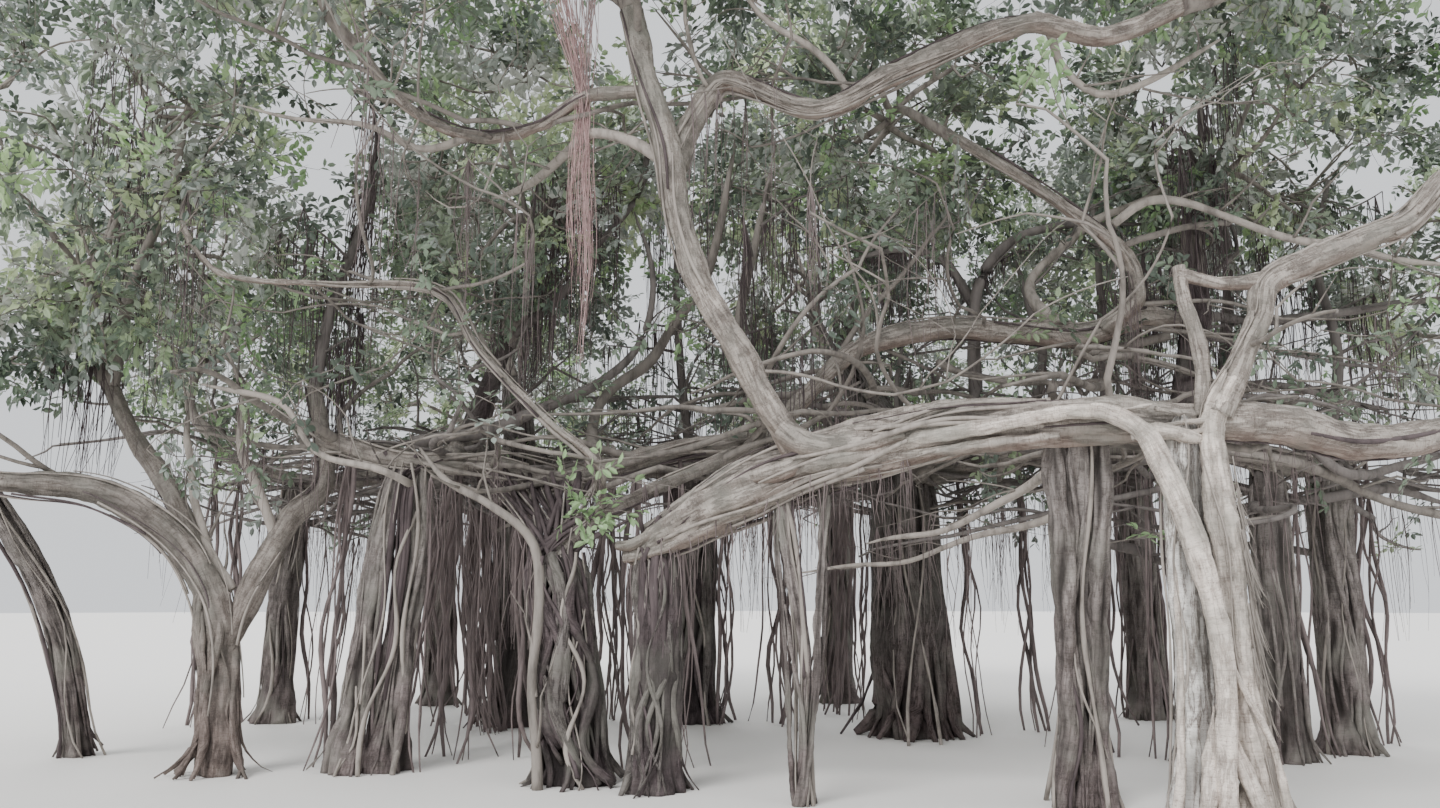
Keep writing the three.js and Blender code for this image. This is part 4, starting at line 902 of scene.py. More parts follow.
class Crown:
    """All that grows on the limbs by seeded rules, worked out once and shared by the pieces."""

    def __init__(self, sizes):
        self.sizes = sizes
        self.limbs = every_limb()
        shares = np.linspace(0, 1, 31)
        self.samples = np.vstack([line.at(shares) for line, _ in self.limbs])
        self.sample_radius = np.concatenate([radius(shares) for _, radius in self.limbs])
        self.middles = np.array([m[1] for m in MASSES], float)
        self.halves = np.array([m[2] for m in MASSES], float)
        self.weights = np.cbrt(self.halves.prod(1)) ** 2
        self.twigs, self.sprays, self.winding, self.carriers, self.sunlit = [], [], [], [], []
        for k in range(len(MASSES)):
            self.grow_mass(k)
        self.grow_winding()

    def in_own_space(self, k, points):
        """Whether points lie on a mass's own side of the flat walls between it and the others."""
        apart = self.middles - self.middles[k]
        distance = np.linalg.norm(apart, axis=1)
        others = distance > 0
        outward = apart[others] / distance[others, None]
        share = 0.5 + (self.weights[k] - self.weights[others]) / (2 * distance[others] ** 2)
        walls = self.middles[k] + apart[others] * share[:, None]
        room = ((walls[None] - points[:, None]) * outward[None]).sum(-1)
        return (room > CELL_MARGIN).all(1)

    def depth(self, points):
        """How far in from the crown's outside points lie, as a share of a mass's half size."""
        deepest = np.full(len(points), -9.0)
        for middle, half in zip(self.middles, self.halves):
            deepest = np.maximum(deepest, 1 - np.linalg.norm((points - middle) / half, axis=1))
        return deepest

    def reach(self, k, point):
        """How far out in a mass a point lies: 0 in its middle, 1 on its outside."""
        return float(np.linalg.norm((point - self.middles[k]) / self.halves[k]))

    def clear(self, start, end, half, tip):
        """Whether a straight piece keeps clear of every limb but for its own bough's tip."""
        at, radius = tip
        way = end - start
        share = np.clip(((self.samples - start) @ way) / max(way @ way, 1e-9), 0, 1)
        distance = np.linalg.norm(start + share[:, None] * way - self.samples, axis=1)
        own = np.linalg.norm(self.samples - at, axis=1) < 2 * radius
        return bool((own | (distance >= self.sample_radius + half + LIMB_CLEARANCE)).all())

    def room_for(self, k, foot, heading, tip):
        """The longest that a spray can be from its foot. 0 where none fits."""
        flat = unit(np.array([-heading[1], heading[0], 0.0]))
        tall = np.cross(heading, flat)
        length = SPRAY_LENGTH
        while length > 0.45 * SPRAY_LENGTH:
            half = half_width(length)
            end = foot + heading * length
            belly = foot + heading * length / 2
            corners = np.array([end] + [belly + axis * out for axis in (flat, tall) for out in (half, -half)])
            inside = self.reach(k, end) <= 1 and self.in_own_space(k, corners).all()
            if inside and self.clear(foot, end, half, tip):
                return length
            length -= 0.05
        return 0.0

    def grow_mass(self, k):
        """The stem, twigs and sprays of one mass, by the solids' rule, and finer twigs between them."""
        route, thick = BOUGHS[MASSES[k][3]]
        line = Line(route)
        start, heading, tip_radius = line.at(1.0), line.heading(1.0), thick[-1]
        tip = (start, tip_radius)
        random = seeded(k + 1)
        middle, half = self.middles[k], self.halves[k]
        hub = middle + (start - middle) * 0.3
        bend = start + heading * 0.4 * np.linalg.norm(start - hub)
        stem = Line([start - heading * 0.06, start + heading * 0.01, bend, hub])
        shares = np.linspace(0, 1, 14)
        self.twigs.append((stem.at(shares), tip_radius * (0.98 - 0.42 * shares), 9))
        golden = math.pi * (3 - math.sqrt(5))
        turn = TAU * random()
        aims = []
        for i in range(TWIGS_PER_MASS):
            up = 1 - 2 * (i + 0.3 + 0.4 * random()) / TWIGS_PER_MASS
            flat = math.sqrt(1 - up * up)
            angle = golden * i + turn
            aims.append(middle + 0.97 * np.array([flat * math.cos(angle), flat * math.sin(angle), up]) * half)
        rng = np.random.default_rng(100 + k)
        wood = [stem.at(np.linspace(0.45, 1, 6))]
        for i, aim in enumerate(aims):
            root = stem.at(0.62 + 0.07 * (i % 6))
            way = unit(aim - root)
            far = float(np.linalg.norm(aim - root))
            foot = root + way * max(0.5 * far, far - SPRAY_LENGTH)
            length = self.room_for(k, foot, way, tip)
            end = foot + way * length
            if length == 0 or not self.clear(root, end, TWIG_ROOT, tip):
                continue
            self.twig(root, foot, TWIG_ROOT, 0.02, rng)
            wood.append(root + (end - root) * np.linspace(0.2, 0.6, 4)[:, None])
            self.spray(foot, end, half_width(length), math.pi / 2, rng)
            across = unit(np.array([-way[1], way[0], 0.0]))
            for n, share in enumerate(SIDE_SPRAYS):
                spin = 2.1 * n + TAU * random()
                roll = 0.5 + 1.2 * random()
                fork = root + (end - root) * share
                out = across * math.cos(spin) + np.cross(way, across) * math.sin(spin)
                toward = unit(way * 0.75 + out)
                length = self.room_for(k, fork, toward, tip)
                if length > 0:
                    self.spray(fork, fork + toward * length, half_width(length), roll, rng)
        self.fill_mass(k, np.vstack(wood), rng)

    def fill_mass(self, k, wood, rng):
        """Finer twigs and smaller sprays, spread evenly through what the rule's twigs leave open."""
        middle, half = self.middles[k], self.halves[k]
        for i in range(self.sizes.fine_twigs):
            away = unit(rng.normal(size=3)) * rng.uniform(0.45, 0.92)
            aim = middle + away * half
            if not self.in_own_space(k, aim[None])[0]:
                continue
            root = wood[np.argmin(np.linalg.norm(wood - aim, axis=1) + rng.uniform(0, 0.3, len(wood)))]
            self.twig(root, aim, 0.02, 0.008, rng)
            if i % 2:
                wood = np.vstack([wood, root + (aim - root) * 0.6])
            outward = unit((aim - middle) / half)
            for _ in range(self.sizes.sprays_per_twig):
                toward = unit(outward + rng.normal(size=3) * 0.75 + UP * 0.1)
                length = rng.uniform(0.55, 1.0)
                while length > 0.3 and self.reach(k, aim + toward * length) > 1:
                    length -= 0.1
                if length > 0.3:
                    self.spray(aim, aim + toward * length, 0.3 * length, rng.uniform(0, math.pi), rng)

    def twig(self, root, end, thick, thin, rng, steps=7):
        """A twig that bows a little between two points."""
        t = np.linspace(0, 1, steps)[:, None]
        far = np.linalg.norm(end - root)
        bow = rng.normal(size=3) * 0.09 * far + UP * 0.05 * far
        kink = rng.normal(size=3) * 0.035 * far
        points = root + (end - root) * t + bow * np.sin(math.pi * t) + kink * np.sin(2 * math.pi * t)
        self.twigs.append((points, thick + (thin - thick) * t[:, 0], 5 if thick > 0.03 else 4))

    def spray(self, foot, tip, half, roll, rng):
        """Notes a spray of leaves, where its tip lies in the tree's box and no lower than leaves hang."""
        seed = rng.integers(1 << 30)
        if in_box(tip, 0.0) and tip[2] > LOWEST_LEAF:
            self.sprays.append((foot, tip, half, roll, seed))

    def grow_winding(self):
        """Thin limbs that wander through the tree from the main ones, and those that carry curtains."""
        rng = np.random.default_rng(77)
        boughs = [(Line(BOUGHS[name][0]), BOUGHS[name][1]) for name in BOUGHS if not is_pillar(name)]
        lengths = np.array([line.length for line, _ in boughs])
        while len(self.winding) < self.sizes.upper_limbs:
            line, thick = boughs[rng.choice(len(boughs), p=lengths / lengths.sum())]
            t = rng.uniform(0.1, 0.97)
            at, heading = line.at(t), line.heading(t)
            if at[2] < LOWEST_FORK:
                continue
            way = unit(heading * rng.choice([-0.4, 0.8]) + rng.normal(size=3) * [0.8, 0.8, 0.3] + UP * 0.35)
            root = float(min(0.55 * along(thick, t), rng.uniform(0.02, 0.058))) * (0.7 if at[1] < 2.4 else 1)
            self.wander(at, way, rng.uniform(1.6, 4.8), root, 2, rng)
        hosts = [Line(BOUGHS[name][0]) for name in LOW_HOSTS]
        for k in range(self.sizes.low_limbs):
            line = hosts[k % len(hosts)]
            t = rng.uniform(0.02, 0.98)
            way = unit(line.heading(t) * rng.choice([-1, 1]) * 0.7 + rng.normal(size=3) * [0.8, 0.8, 0.12]
                       - UP * 0.06)
            at = line.at(t) - UP * rng.uniform(0, 0.6) * (k % 2)
            self.wander(at, way, rng.uniform(1.5, 4.2), rng.uniform(0.018, 0.055), 1, rng, flat=True)
        for route, thick, thin in [RUN_ON, *THIN_LIMBS, *HAIRY_LIMBS]:
            line = Line(route)
            t = np.linspace(0, 1, int(line.length / LIMB_STEP))
            ripple = Ripple(len(self.winding), 8)
            shift = ripple(line.at(t)[:, None] + [[[0, 0, 0], [7, 0, 0], [0, 7, 0]]], 0.8)
            loose = np.sin(math.pi * t)[:, None]
            close = 1 - 0.6 * np.clip((t - 0.85) / 0.15, 0, 1)
            radii = (thick + (thin - thick) * t) * (1 + 0.07 * shift[:, 0]) * close
            bare = route[0][1] < 3.4 and route[0][2] > 0.1
            (self.sunlit if bare else self.winding).append((line.at(t) + 0.035 * shift * loose, radii))
            for share in rng.uniform(0.1, 0.9, 6):
                way = unit(line.heading(share) + rng.normal(size=3) * 0.6 + UP * 0.1)
                self.wander(line.at(share), way, rng.uniform(0.5, 1.6), 0.45 * thin, 0, rng,
                            flat=line.at(1)[2] < 3)
        self.winding.append((Line(TASSEL_LIMB).at(np.linspace(0, 1, 20)), np.linspace(0.04, 0.015, 20)))
        for end in SPRIG_TIPS:
            self.spray(np.array(SPRIG_FOOT), np.array(end), 0.16, rng.uniform(0, 3), rng)
        for route, limbs in CURTAINS:
            line = Line(route)
            self.winding.append((line.at(np.linspace(0, 1, 26)), np.linspace(0.075, 0.03, 26)))
            for k in range(limbs):
                at = line.at((k + rng.random()) / limbs)
                way = unit(np.append(rng.normal(size=2), 0.25))
                self.wander(at, way, rng.uniform(0.6, 1.5), 0.024, 0, rng, self.carriers)
        self.grow_riser(np.random.default_rng(79))

    def grow_riser(self, rng):
        """The leafy riser on the left arch."""
        route, root, tip = ARCH_RISER
        line = Line(route)
        self.sunlit.append((line.at(np.linspace(0, 1, 20)), np.linspace(root, tip, 20)))
        for share in rng.uniform(0.1, 0.95, 18):
            foot = line.at(share)
            way = unit(rng.normal(size=3) * [1, 1, 0.4])
            self.spray(foot, foot + way * rng.uniform(0.4, 0.9), 0.16, rng.uniform(0, 3), rng)

    def wander(self, at, way, length, thick, forks, rng, into=None, flat=False):
        """One winding limb with its forks. It kinks now and then, and keeps above head height."""
        low = np.array(CAD_BOX[0]) + [EDGE, EDGE, ROOF]
        high = np.array(CAD_BOX[1]) - [EDGE, EDGE, UNDER_TOP]
        if flat:
            low[1:], high[2] = (BEHIND, OVER_HEAD), UNDER_BOUGHS
        points, until = [at], rng.uniform(0.3, 0.8)
        bend = rng.normal(size=3) * 0.06
        for _ in range(max(4, int(length / LIMB_STEP))):
            here = points[-1]
            until -= LIMB_STEP
            if until < 0:
                way = unit(way + rng.normal(size=3) * [0.42, 0.42, 0.3])
                bend = rng.normal(size=3) * [0.07, 0.07, 0.05]
                until = rng.uniform(0.35, 0.9)
            pull = np.clip(low - here, 0, 1) - np.clip(here - high, 0, 1)
            way = unit(way + bend + 0.25 * pull)
            way[2] = np.clip(way[2], *((-0.22, 0.25) if flat else (-0.35, 0.85)))
            following = here + unit(way) * LIMB_STEP
            if not in_box(following, -0.25):
                break
            points.append(following)
        if len(points) < 4:
            return
        points = np.array(points)
        share = np.linspace(0, 1, len(points))
        (self.winding if into is None else into).append((points, thick * (1 - 0.72 * share)))
        for _ in range(forks):
            k = int(rng.uniform(0.2, 0.75) * (len(points) - 1))
            ahead = unit(points[k + 1] - points[k])
            side = unit(ahead + rng.normal(size=3) * [0.8, 0.8, 0.5] + UP * 0.2)
            thinner = thick * (1 - 0.72 * share[k]) * 0.7
            self.wander(points[k], side, length * rng.uniform(0.4, 0.7), thinner, forks - 1, rng, into, flat)
        if rng.random() < self.sizes.low_sprays * (0.2 if flat else 1):
            for end in points[[-1, int(0.8 * len(points))]]:
                toward = unit(rng.normal(size=3) + UP * 0.3)
                self.spray(end, end + toward * rng.uniform(0.35, 0.7), 0.18, rng.uniform(0, 3), rng)


def tube_piece(name, tubes):
    """Many thin closed tubes as one piece. Each tube is points, radii and sides."""
    all_points, quads, ends, all_grain, count = [], [], [], [], 0
    for points, radii, sides in tubes:
        n = len(points)
        way = unit(np.gradient(points, axis=0))
        seed_way = np.where(np.abs(way[:, 2:3]) < 0.9, UP, np.array([1.0, 0, 0]))
        across = unit(np.cross(way, seed_way))
        up = np.cross(way, across)
        theta = np.linspace(0, TAU, sides, endpoint=False)
        ring = np.cos(theta)[None, :, None] * across[:, None] + np.sin(theta)[None, :, None] * up[:, None]
        body = points[:, None] + ring * radii[:, None, None]
        body[..., 2] = np.maximum(body[..., 2], 0)
        run = np.concatenate([[0], np.cumsum(np.linalg.norm(np.diff(points, axis=0), axis=1))])
        grain = np.stack([np.cos(theta)[None] * radii[:, None], np.sin(theta)[None] * radii[:, None],
                          np.broadcast_to(run[:, None], (n, sides))], -1)
        index = count + np.arange(n * sides).reshape(n, sides)
        nxt = np.roll(index, -1, 1)
        quads.append(np.stack([index[:-1], nxt[:-1], nxt[1:], index[1:]], -1).reshape(-1, 4))
        fan = np.array([[0, k, k + 1] for k in range(1, sides - 1)])
        ends += [index[-1][fan], index[0][fan[:, ::-1]]]
        all_points.append(body.reshape(-1, 3))
        all_grain.append(grain.reshape(-1, 3))
        count += n * sides
    # thin tubes get none of the painted shade in creases
    values = {"grain": np.vstack(all_grain), "crease_shading": np.ones(count)}
    return piece_of(name, np.vstack(all_points), np.vstack(quads), np.vstack(ends), values=values)


def near_ground(points, height=0.4):
    """1 at the ground, down to 0 at a height above it."""
    return np.maximum(0, 1 - points[:, 2] / height) ** 2


def around(line, t, angle, out):
    """Points round a line, at an angle and a distance out for each."""
    at, across, side = line.frames(t)
    return at + (np.cos(angle)[:, None] * across + np.sin(angle)[:, None] * side) * out[:, None]


def thin_piece(name, tubes, bark, colour, light, dark, slot, *nodes):
    """Thin roots or limbs as one piece, in one colour made lighter and darker."""
    piece = tube_piece(name, tubes)
    dress(piece, root_material(bark, shade(colour, light), shade(colour, dark)), slot, *nodes)


def sunk_roots(line, radius, count, seed, near, toes=0.6, twist=0.5, stout=0.2):
    """Round roots half sunk in a limb's skin, from its foot to its head, where they turn in."""
    rng = np.random.default_rng(seed)
    start = line.above_ground()
    tubes = []
    for k in range(count):
        low = start if rng.random() < 0.7 else rng.uniform(start, 0.55)
        high = 1.0 if rng.random() < 0.7 else rng.uniform(max(0.5, low + 0.2), 1)
        t = np.linspace(low, high, max(9, int(line.length * (high - low) / (0.07 if near else 0.12))))
        angle = (rng.uniform(0, TAU) + twist * rng.uniform(-0.5, 1.4) * t
                 + rng.uniform(0.1, 0.45) * wave(t, 0.7, 2.2, rng))
        wide = radius(t)
        share = rng.uniform(0.05, 0.13) if k % 3 else rng.uniform(0.12, stout)
        thick = wide.mean() * share * (1 + 0.3 * wave(t, 1, 3, rng))
        foot = near_ground(line.at(t))
        turned_in = (1 - 0.45 * np.clip((t - high + 0.12) / 0.12, 0, 1) ** 2
                     - 0.3 * np.clip((low + 0.1 - t) / 0.1, 0, 1) ** 2 * (low > start))
        out = wide * (rng.uniform(0.86, 1.0) + toes * rng.uniform(0, 1) * foot) * turned_in
        tubes.append((around(line, t, angle, out), thick * (1 - 0.35 * foot), 6 if near else 5))
    return tubes


def spray_parts(sprays, sizes):
    """Each spray's axis, its side shoots and its leaves, as arrays."""
    axes, shoots, leaves = [], [], []
    for foot, tip, half, roll, seed in sprays:
        rng = np.random.default_rng(seed)
        way = tip - foot
        length = np.linalg.norm(way)
        way = way / length
        flat = unit(np.cross(way, UP if abs(way[2]) < 0.95 else np.array([1.0, 0, 0])))
        flat = flat * math.cos(roll) + np.cross(way, flat) * math.sin(roll)
        face = np.cross(way, flat)
        t = np.linspace(0, 1, 4)[:, None]
        bow = rng.normal(size=3) * 0.05 * length
        axis = foot + way * length * t + bow * np.sin(math.pi * t) - UP * 0.05 * length * t ** 2
        axes.append((axis, 0.008 * (1 - 0.75 * t[:, 0]) * (0.6 + 0.5 * length), 3))
        pairs = max(4, int(length * sizes.shoots_per_metre))
        place = np.linspace(0.12, 0.99, pairs)
        side = np.where(np.arange(pairs) % 2, 1.0, -1.0)
        wide = half * np.sqrt(np.clip(1 - (place - 0.5) ** 2 / 0.3, 0.1, 1)) * rng.uniform(0.8, 1.15, pairs)
        start = np.stack([np.interp(place, t[:, 0], axis[:, k]) for k in range(3)], -1)
        heading = unit(way * 0.75 + flat * side[:, None] + face * rng.normal(size=(pairs, 1)) * 0.45
                       + rng.normal(size=(pairs, 3)) * 0.15)
        reach = np.maximum(wide * 1.15, 0.1)
        shoots.append(np.hstack([start, heading, reach[:, None]]))
        for p in range(pairs):
            n = max(3, int(reach[p] / sizes.leaf_gap))
            share = (np.arange(n) + rng.uniform(0.3, 0.8)) / n
            spot = start[p] + heading[p] * (reach[p] * share)[:, None]
            leaf_side = np.where(np.arange(n) % 2, 1.0, -1.0)[:, None]
            lateral = np.cross(heading[p], face)
            toward = unit(heading[p] * 0.8 + lateral * leaf_side * 0.8 + rng.normal(size=(n, 3)) * 0.32
                          - UP * 0.12)
            upper = face * (1 if face[2] > 0 else -1)
            normal = unit(upper * 0.6 + UP * 0.6 + rng.normal(size=(n, 3)) * 0.4)
            size = rng.uniform(0.75, 1.15, n)
            leaves.append(np.hstack([spot, toward, normal, size[:, None]]))
    shoots = np.vstack(shoots)
    kept = in_box(shoots[:, :3] + shoots[:, 3:6] * shoots[:, 6:7])
    return axes, shoots[kept], leaves


def in_box(points, margin=0.1):
    """Which points lie in the solids' box, or stand out of it by no more than a leaf."""
    low, high = np.array(CAD_BOX[0]) - margin, np.array(CAD_BOX[1]) + margin
    return ((points > low) & (points < high)).all(-1)


def leaf_arrays(rows, length, whole):
    """Leaves as points and faces: two halves that meet along the midrib, simpler ones deep in the crown."""
    spot, toward, normal, size = rows[:, :3], rows[:, 3:6], rows[:, 6:9], rows[:, 9:10] * length
    across = unit(np.cross(normal, toward))
    lift = np.cross(toward, across)
    half = [(0.3, 0.23, 0.05), (0.66, 0.24, 0.05)] if whole else [(0.45, 0.27, 0.06)]
    outline = [(0, 0, 0), *half, (1, 0, -0.05), *((a, -b, c) for a, b, c in reversed(half))]
    points = np.stack([spot + toward * size * a + across * size * b + lift * size * c
                       for a, b, c in outline], 1)
    halves = [[0, 3, 2, 1], [0, 5, 4, 3]] if whole else [[0, 2, 1], [0, 3, 2]]
    first = (np.arange(len(rows)) * len(outline))[:, None]
    faces = np.concatenate([first + np.array([corners]) for corners in halves])
    return points.reshape(-1, 3), faces


def spike_arrays(shoots, thick):
    """Side shoots as three-sided spikes."""
    start, way, reach = shoots[:, :3], shoots[:, 3:6], shoots[:, 6:7]
    across = unit(np.cross(way, np.array([0.3, 0.2, 1.0])))
    up = np.cross(across, way)
    corners = [start + (across * math.cos(a) + up * math.sin(a)) * thick for a in (0, -TAU / 3, -2 * TAU / 3)]
    points = np.stack(corners + [start + way * reach], 1).reshape(-1, 3)
    first = (np.arange(len(shoots)) * 4)[:, None]
    sides = [[0, 1, 3], [1, 2, 3], [2, 0, 3], [0, 2, 1]]
    faces = np.concatenate([first + np.array([s]) for s in sides], 1).reshape(-1, 3)
    return points, faces


_grown = {}  # what one operator has worked out and a later one needs


def crown():
    """The crown's growth, worked out the first time that a piece needs it."""
    if "crown" not in _grown:
        _grown["crown"] = Crown(bpy.context.scene.banyan_sizes)
    return _grown["crown"]


# Settings


class BanyanSizes(bpy.types.PropertyGroup):
    """Sizes and counts of what grows on the limbs"""

    leaf_length: FloatProperty(name="Leaf length", description="Length of a leaf",
        default=0.108, unit="LENGTH")
    inner_leaf_length: FloatProperty(name="Inner leaf length",
        description="Length of a leaf deep in the crown", default=0.14, unit="LENGTH")
    leaf_gap: FloatProperty(name="Leaf gap", description="Distance between leaves on a shoot",
        default=0.029, unit="LENGTH")
    shoots_per_metre: FloatProperty(name="Shoots per metre", description="Side shoots along a spray",
        default=9.1)
    fine_twigs: IntProperty(name="Fine twigs", description="Finer twigs in each mass of foliage",
        default=56)
    sprays_per_twig: IntProperty(name="Sprays per twig", description="Sprays at each fine twig's end",
        default=4)
    upper_limbs: IntProperty(name="Upper limbs", description="Thin limbs that wander through the crown",
        default=390)
    low_limbs: IntProperty(name="Low limbs", description="Thin limbs that lie across between the pillars",
        default=230)
    low_sprays: FloatProperty(name="Low sprays", description="Share of winding limbs with leaves",
        default=0.3, subtype="FACTOR")
    root_clusters: IntProperty(name="Root clusters",
        description="Clusters of roots that hang from the limbs", default=195)
    prop_roots: IntProperty(name="Prop roots", description="Thin roots that have reached the ground",
        default=72)


class BanyanColours(bpy.types.PropertyGroup):
    """Colours of bark, roots and leaves"""

    bark_pale: FloatVectorProperty(name="Pale bark", description="Bark of the boughs in the light",
        default=(0.43, 0.385, 0.345), subtype="COLOR")
    slab: FloatVectorProperty(name="Slab bark", description="The trunk's pale left stem",
        default=(0.78, 0.755, 0.72), subtype="COLOR")
    bark_dark: FloatVectorProperty(name="Dark bark", description="Creases and shaded bark",
        default=(0.13, 0.108, 0.1), subtype="COLOR")
    pillar: FloatVectorProperty(name="Pillar bark", description="Bark of the root pillars",
        default=(0.285, 0.255, 0.24), subtype="COLOR")
    old_root: FloatVectorProperty(name="Old roots", description="Dark bundles of old roots",
        default=(0.12, 0.095, 0.097), subtype="COLOR")
    thin_root: FloatVectorProperty(name="Thin roots", description="Roots that hang or reach the ground",
        default=(0.24, 0.195, 0.19), subtype="COLOR")
    young_root: FloatVectorProperty(name="Young roots", description="The red tassel",
        default=(0.72, 0.5, 0.49), subtype="COLOR")
    stain: FloatVectorProperty(name="Stain", description="Grey-green patches on the bark",
        default=(0.25, 0.24, 0.21), subtype="COLOR")
    # painted shade: the darker reddish brown laid on the boughs' undersides
    underside_shade: FloatVectorProperty(name="Underside_shade", description="The boughs' reddish undersides",
        default=(0.28, 0.19, 0.155), subtype="COLOR")
    floor: FloatVectorProperty(name="Floor", description="The stage's floor",
        default=(0.84, 0.82, 0.79), subtype="COLOR")


LEAF_COLOURS = {
    "leaves_deep": (0.09, 0.118, 0.09),
    "leaves_grey": (0.265, 0.3, 0.265),
    "leaves_mid": (0.18, 0.235, 0.165),
    "leaves_bright": (0.3, 0.385, 0.23),
    "leaves_fresh": (0.255, 0.385, 0.19),
}
LEAF_SHARES = [0.24, 0.27, 0.27, 0.16, 0.06]
LIT_THROUGH = (1.75, 1.6, 1.65)  # leaves inside the crown are seen from below, with the light behind them


# Operators


class BANYAN_OT_trunk(bpy.types.Operator):
    """The trunk: three stems grown together, root toes and the knotted head"""

    bl_idname = "banyan.trunk"
    bl_label = "Trunk"

    def execute(self, context):
        colours = context.scene.banyan_colours
        head_roots, fibre_count = 14, 150
        skins = []
        for i, (stem, kind, sides) in enumerate((
                (SLAB_STEM, "slab", 72), (PEELING_STEM, "peeling", 44), (SHAGGY_STEM, "shaggy", 56))):
            route, thick = stem
            skins.append(bark_skin(Line(route), profile(thick), 10 + i, sides, 0.022, **STYLES[kind]))
        toes = [(toe_route(i, a)[0][:2] + [[-0.03 + 0.03 * math.cos(a), 0.03 + 0.03 * math.sin(a), 0.9]],
                 [0.05, 0.07, 0.02]) for i, a in enumerate(TOE_ANGLES)]
        for i, (route, thick) in enumerate(toes + TRUNK_ROOTS):
            skins.append(bark_skin(Line(route), profile(thick), 20 + i, 20, 0.025, strands=4, core=0.88,
                                   ring=0.5, rough=0.4))
        rng = np.random.default_rng(5)
        for k in range(head_roots):
            a = rng.uniform(0, TAU)
            z = rng.uniform(2.75, 3.05)
            x, y = -0.05 + 0.26 * math.cos(a), 0.04 + 0.12 * math.sin(a)
            route = [[x, y, z], [x + rng.normal() * 0.12, y - 0.03, z + 0.04],
                     [x + rng.normal() * 0.25, y - 0.02, z]]
            skins.append(bark_skin(Line(route), lambda t: 0.03 - 0.02 * t, 40 + k, 12, 0.02, strands=3))
        whitish = bark_material("slab_bark", colours.slab, shade(colours.bark_dark, 0.9),
                                shade(colours.stain, 1.1), streaky=0.8)
        # painted light: the trunk's stems, toes and roots, apart from the slab, take the pale bough bark at
        # 1.78 times its brightness, for the light on the trunk in front
        brown = bark_material("trunk_bark", shade(colours.bark_pale, 1.78), shade(colours.bark_dark, 1.2),
                              shade(colours.stain, 1.3))
        for name, chosen, material in (("trunk_slab", skins[:1], whitish), ("trunk_bark", skins[1:], brown)):
            piece = joined(chosen, name)
            relief(piece, size=0.1)
            dress(piece, material, "bark", "trunk")
        fibres = []
        stem = Line(SHAGGY_STEM[0])
        for _ in range(fibre_count):
            t = np.linspace(0, rng.uniform(0.05, 0.14), 6) + rng.uniform(0.06, 0.7)
            angle = rng.uniform(-1.3, 0.9) + rng.normal() * 0.8 * (t - t[0])
            off = 0.13 * (1 + 0.35 * np.abs(rng.normal()) * (1 - np.linspace(0, 1, 6)) ** 2)
            at = stem.at(t) + np.stack([np.cos(angle) * off, np.sin(angle) * off, 0 * t], -1)
            fibres.append((at, rng.uniform(0.003, 0.009) * np.linspace(0.5, 1, 6), 3))
        thin_piece("trunk_fibres", fibres, "fibre", colours.bark_pale, 0.8, 0.35, "bark")
        return {"FINISHED"}


class BANYAN_OT_boughs(bpy.types.Operator):
    """The boughs and the stems that fork near the ground"""

    bl_idname = "banyan.boughs"
    bl_label = "Boughs"

    def execute(self, context):
        colours = context.scene.banyan_colours
        pale = bark_material("bough_bark", colours.bark_pale, colours.bark_dark, colours.stain,
                             underside_shade=colours.underside_shade, streaky=0.5, bump=0.8)
        # painted shade: the boughs under the crown get the pale bark at two thirds of its brightness, and the
        # back trunks the pillar bark at two thirds
        dull = bark_material("inner_bough_bark", shade(colours.bark_pale, 0.66), colours.bark_dark,
                             shade(colours.stain, 0.8), low=(0.68, 0.6, 0.6))
        old = bark_material("old_root_bark", colours.old_root, shade(colours.old_root, 0.45),
                            shade(colours.stain, 0.5))
        shaded = bark_material("shaded_bark", shade(colours.pillar, 0.66), shade(colours.bark_dark, 0.5),
                               shade(colours.stain, 0.6), low=(0.6, 0.5, 0.52), streaky=0.7)
        for seed, (name, (route, thick)) in enumerate(BOUGHS.items()):
            if is_pillar(name):
                continue
            line, radius = Line(route), profile(slimmed(name, thick))
            skins = [limb_bark(name, line, radius, 100 + seed)]
            for n, (owner, spur, spur_thick) in enumerate(SPURS):
                if owner == name:
                    skins.append(limb_bark(name, Line(spur), profile(spur_thick), 160 + n))
            if name == "bough_left":
                skins += [bark_skin(Line(strand), profile(radii), 170 + n, 26, 0.03, strands=3, core=0.92,
                                    ring=0.48, rough=0.4) for n, (strand, radii) in enumerate(BOUGH_STRANDS)]
            if name == "stem_left":
                # roots only where the stem is near the ground
                roots = sunk_roots(Line(route[:4]), profile([0.24, 0.19, 0.17, 0.15]), 34, 180, near=True,
                                   toes=1.3, twist=0.9, stout=0.26)
                skins.append(tube_piece("sunk", roots))
            elif route[0][2] < 0:
                roots = sunk_roots(line, radius, 34, 180 + seed, near=False, stout=0.26)
                skins.append(tube_piece("sunk", roots))
            piece = joined(skins, f"{name}_bark")
            relief(piece)
            material = (old if name in DARK else shaded if name.startswith("trunk_")
                        else pale if name in OPEN_BOUGHS else dull)
            dress(piece, material, "root_bark" if name in DARK else "bark", name)
        return {"FINISHED"}


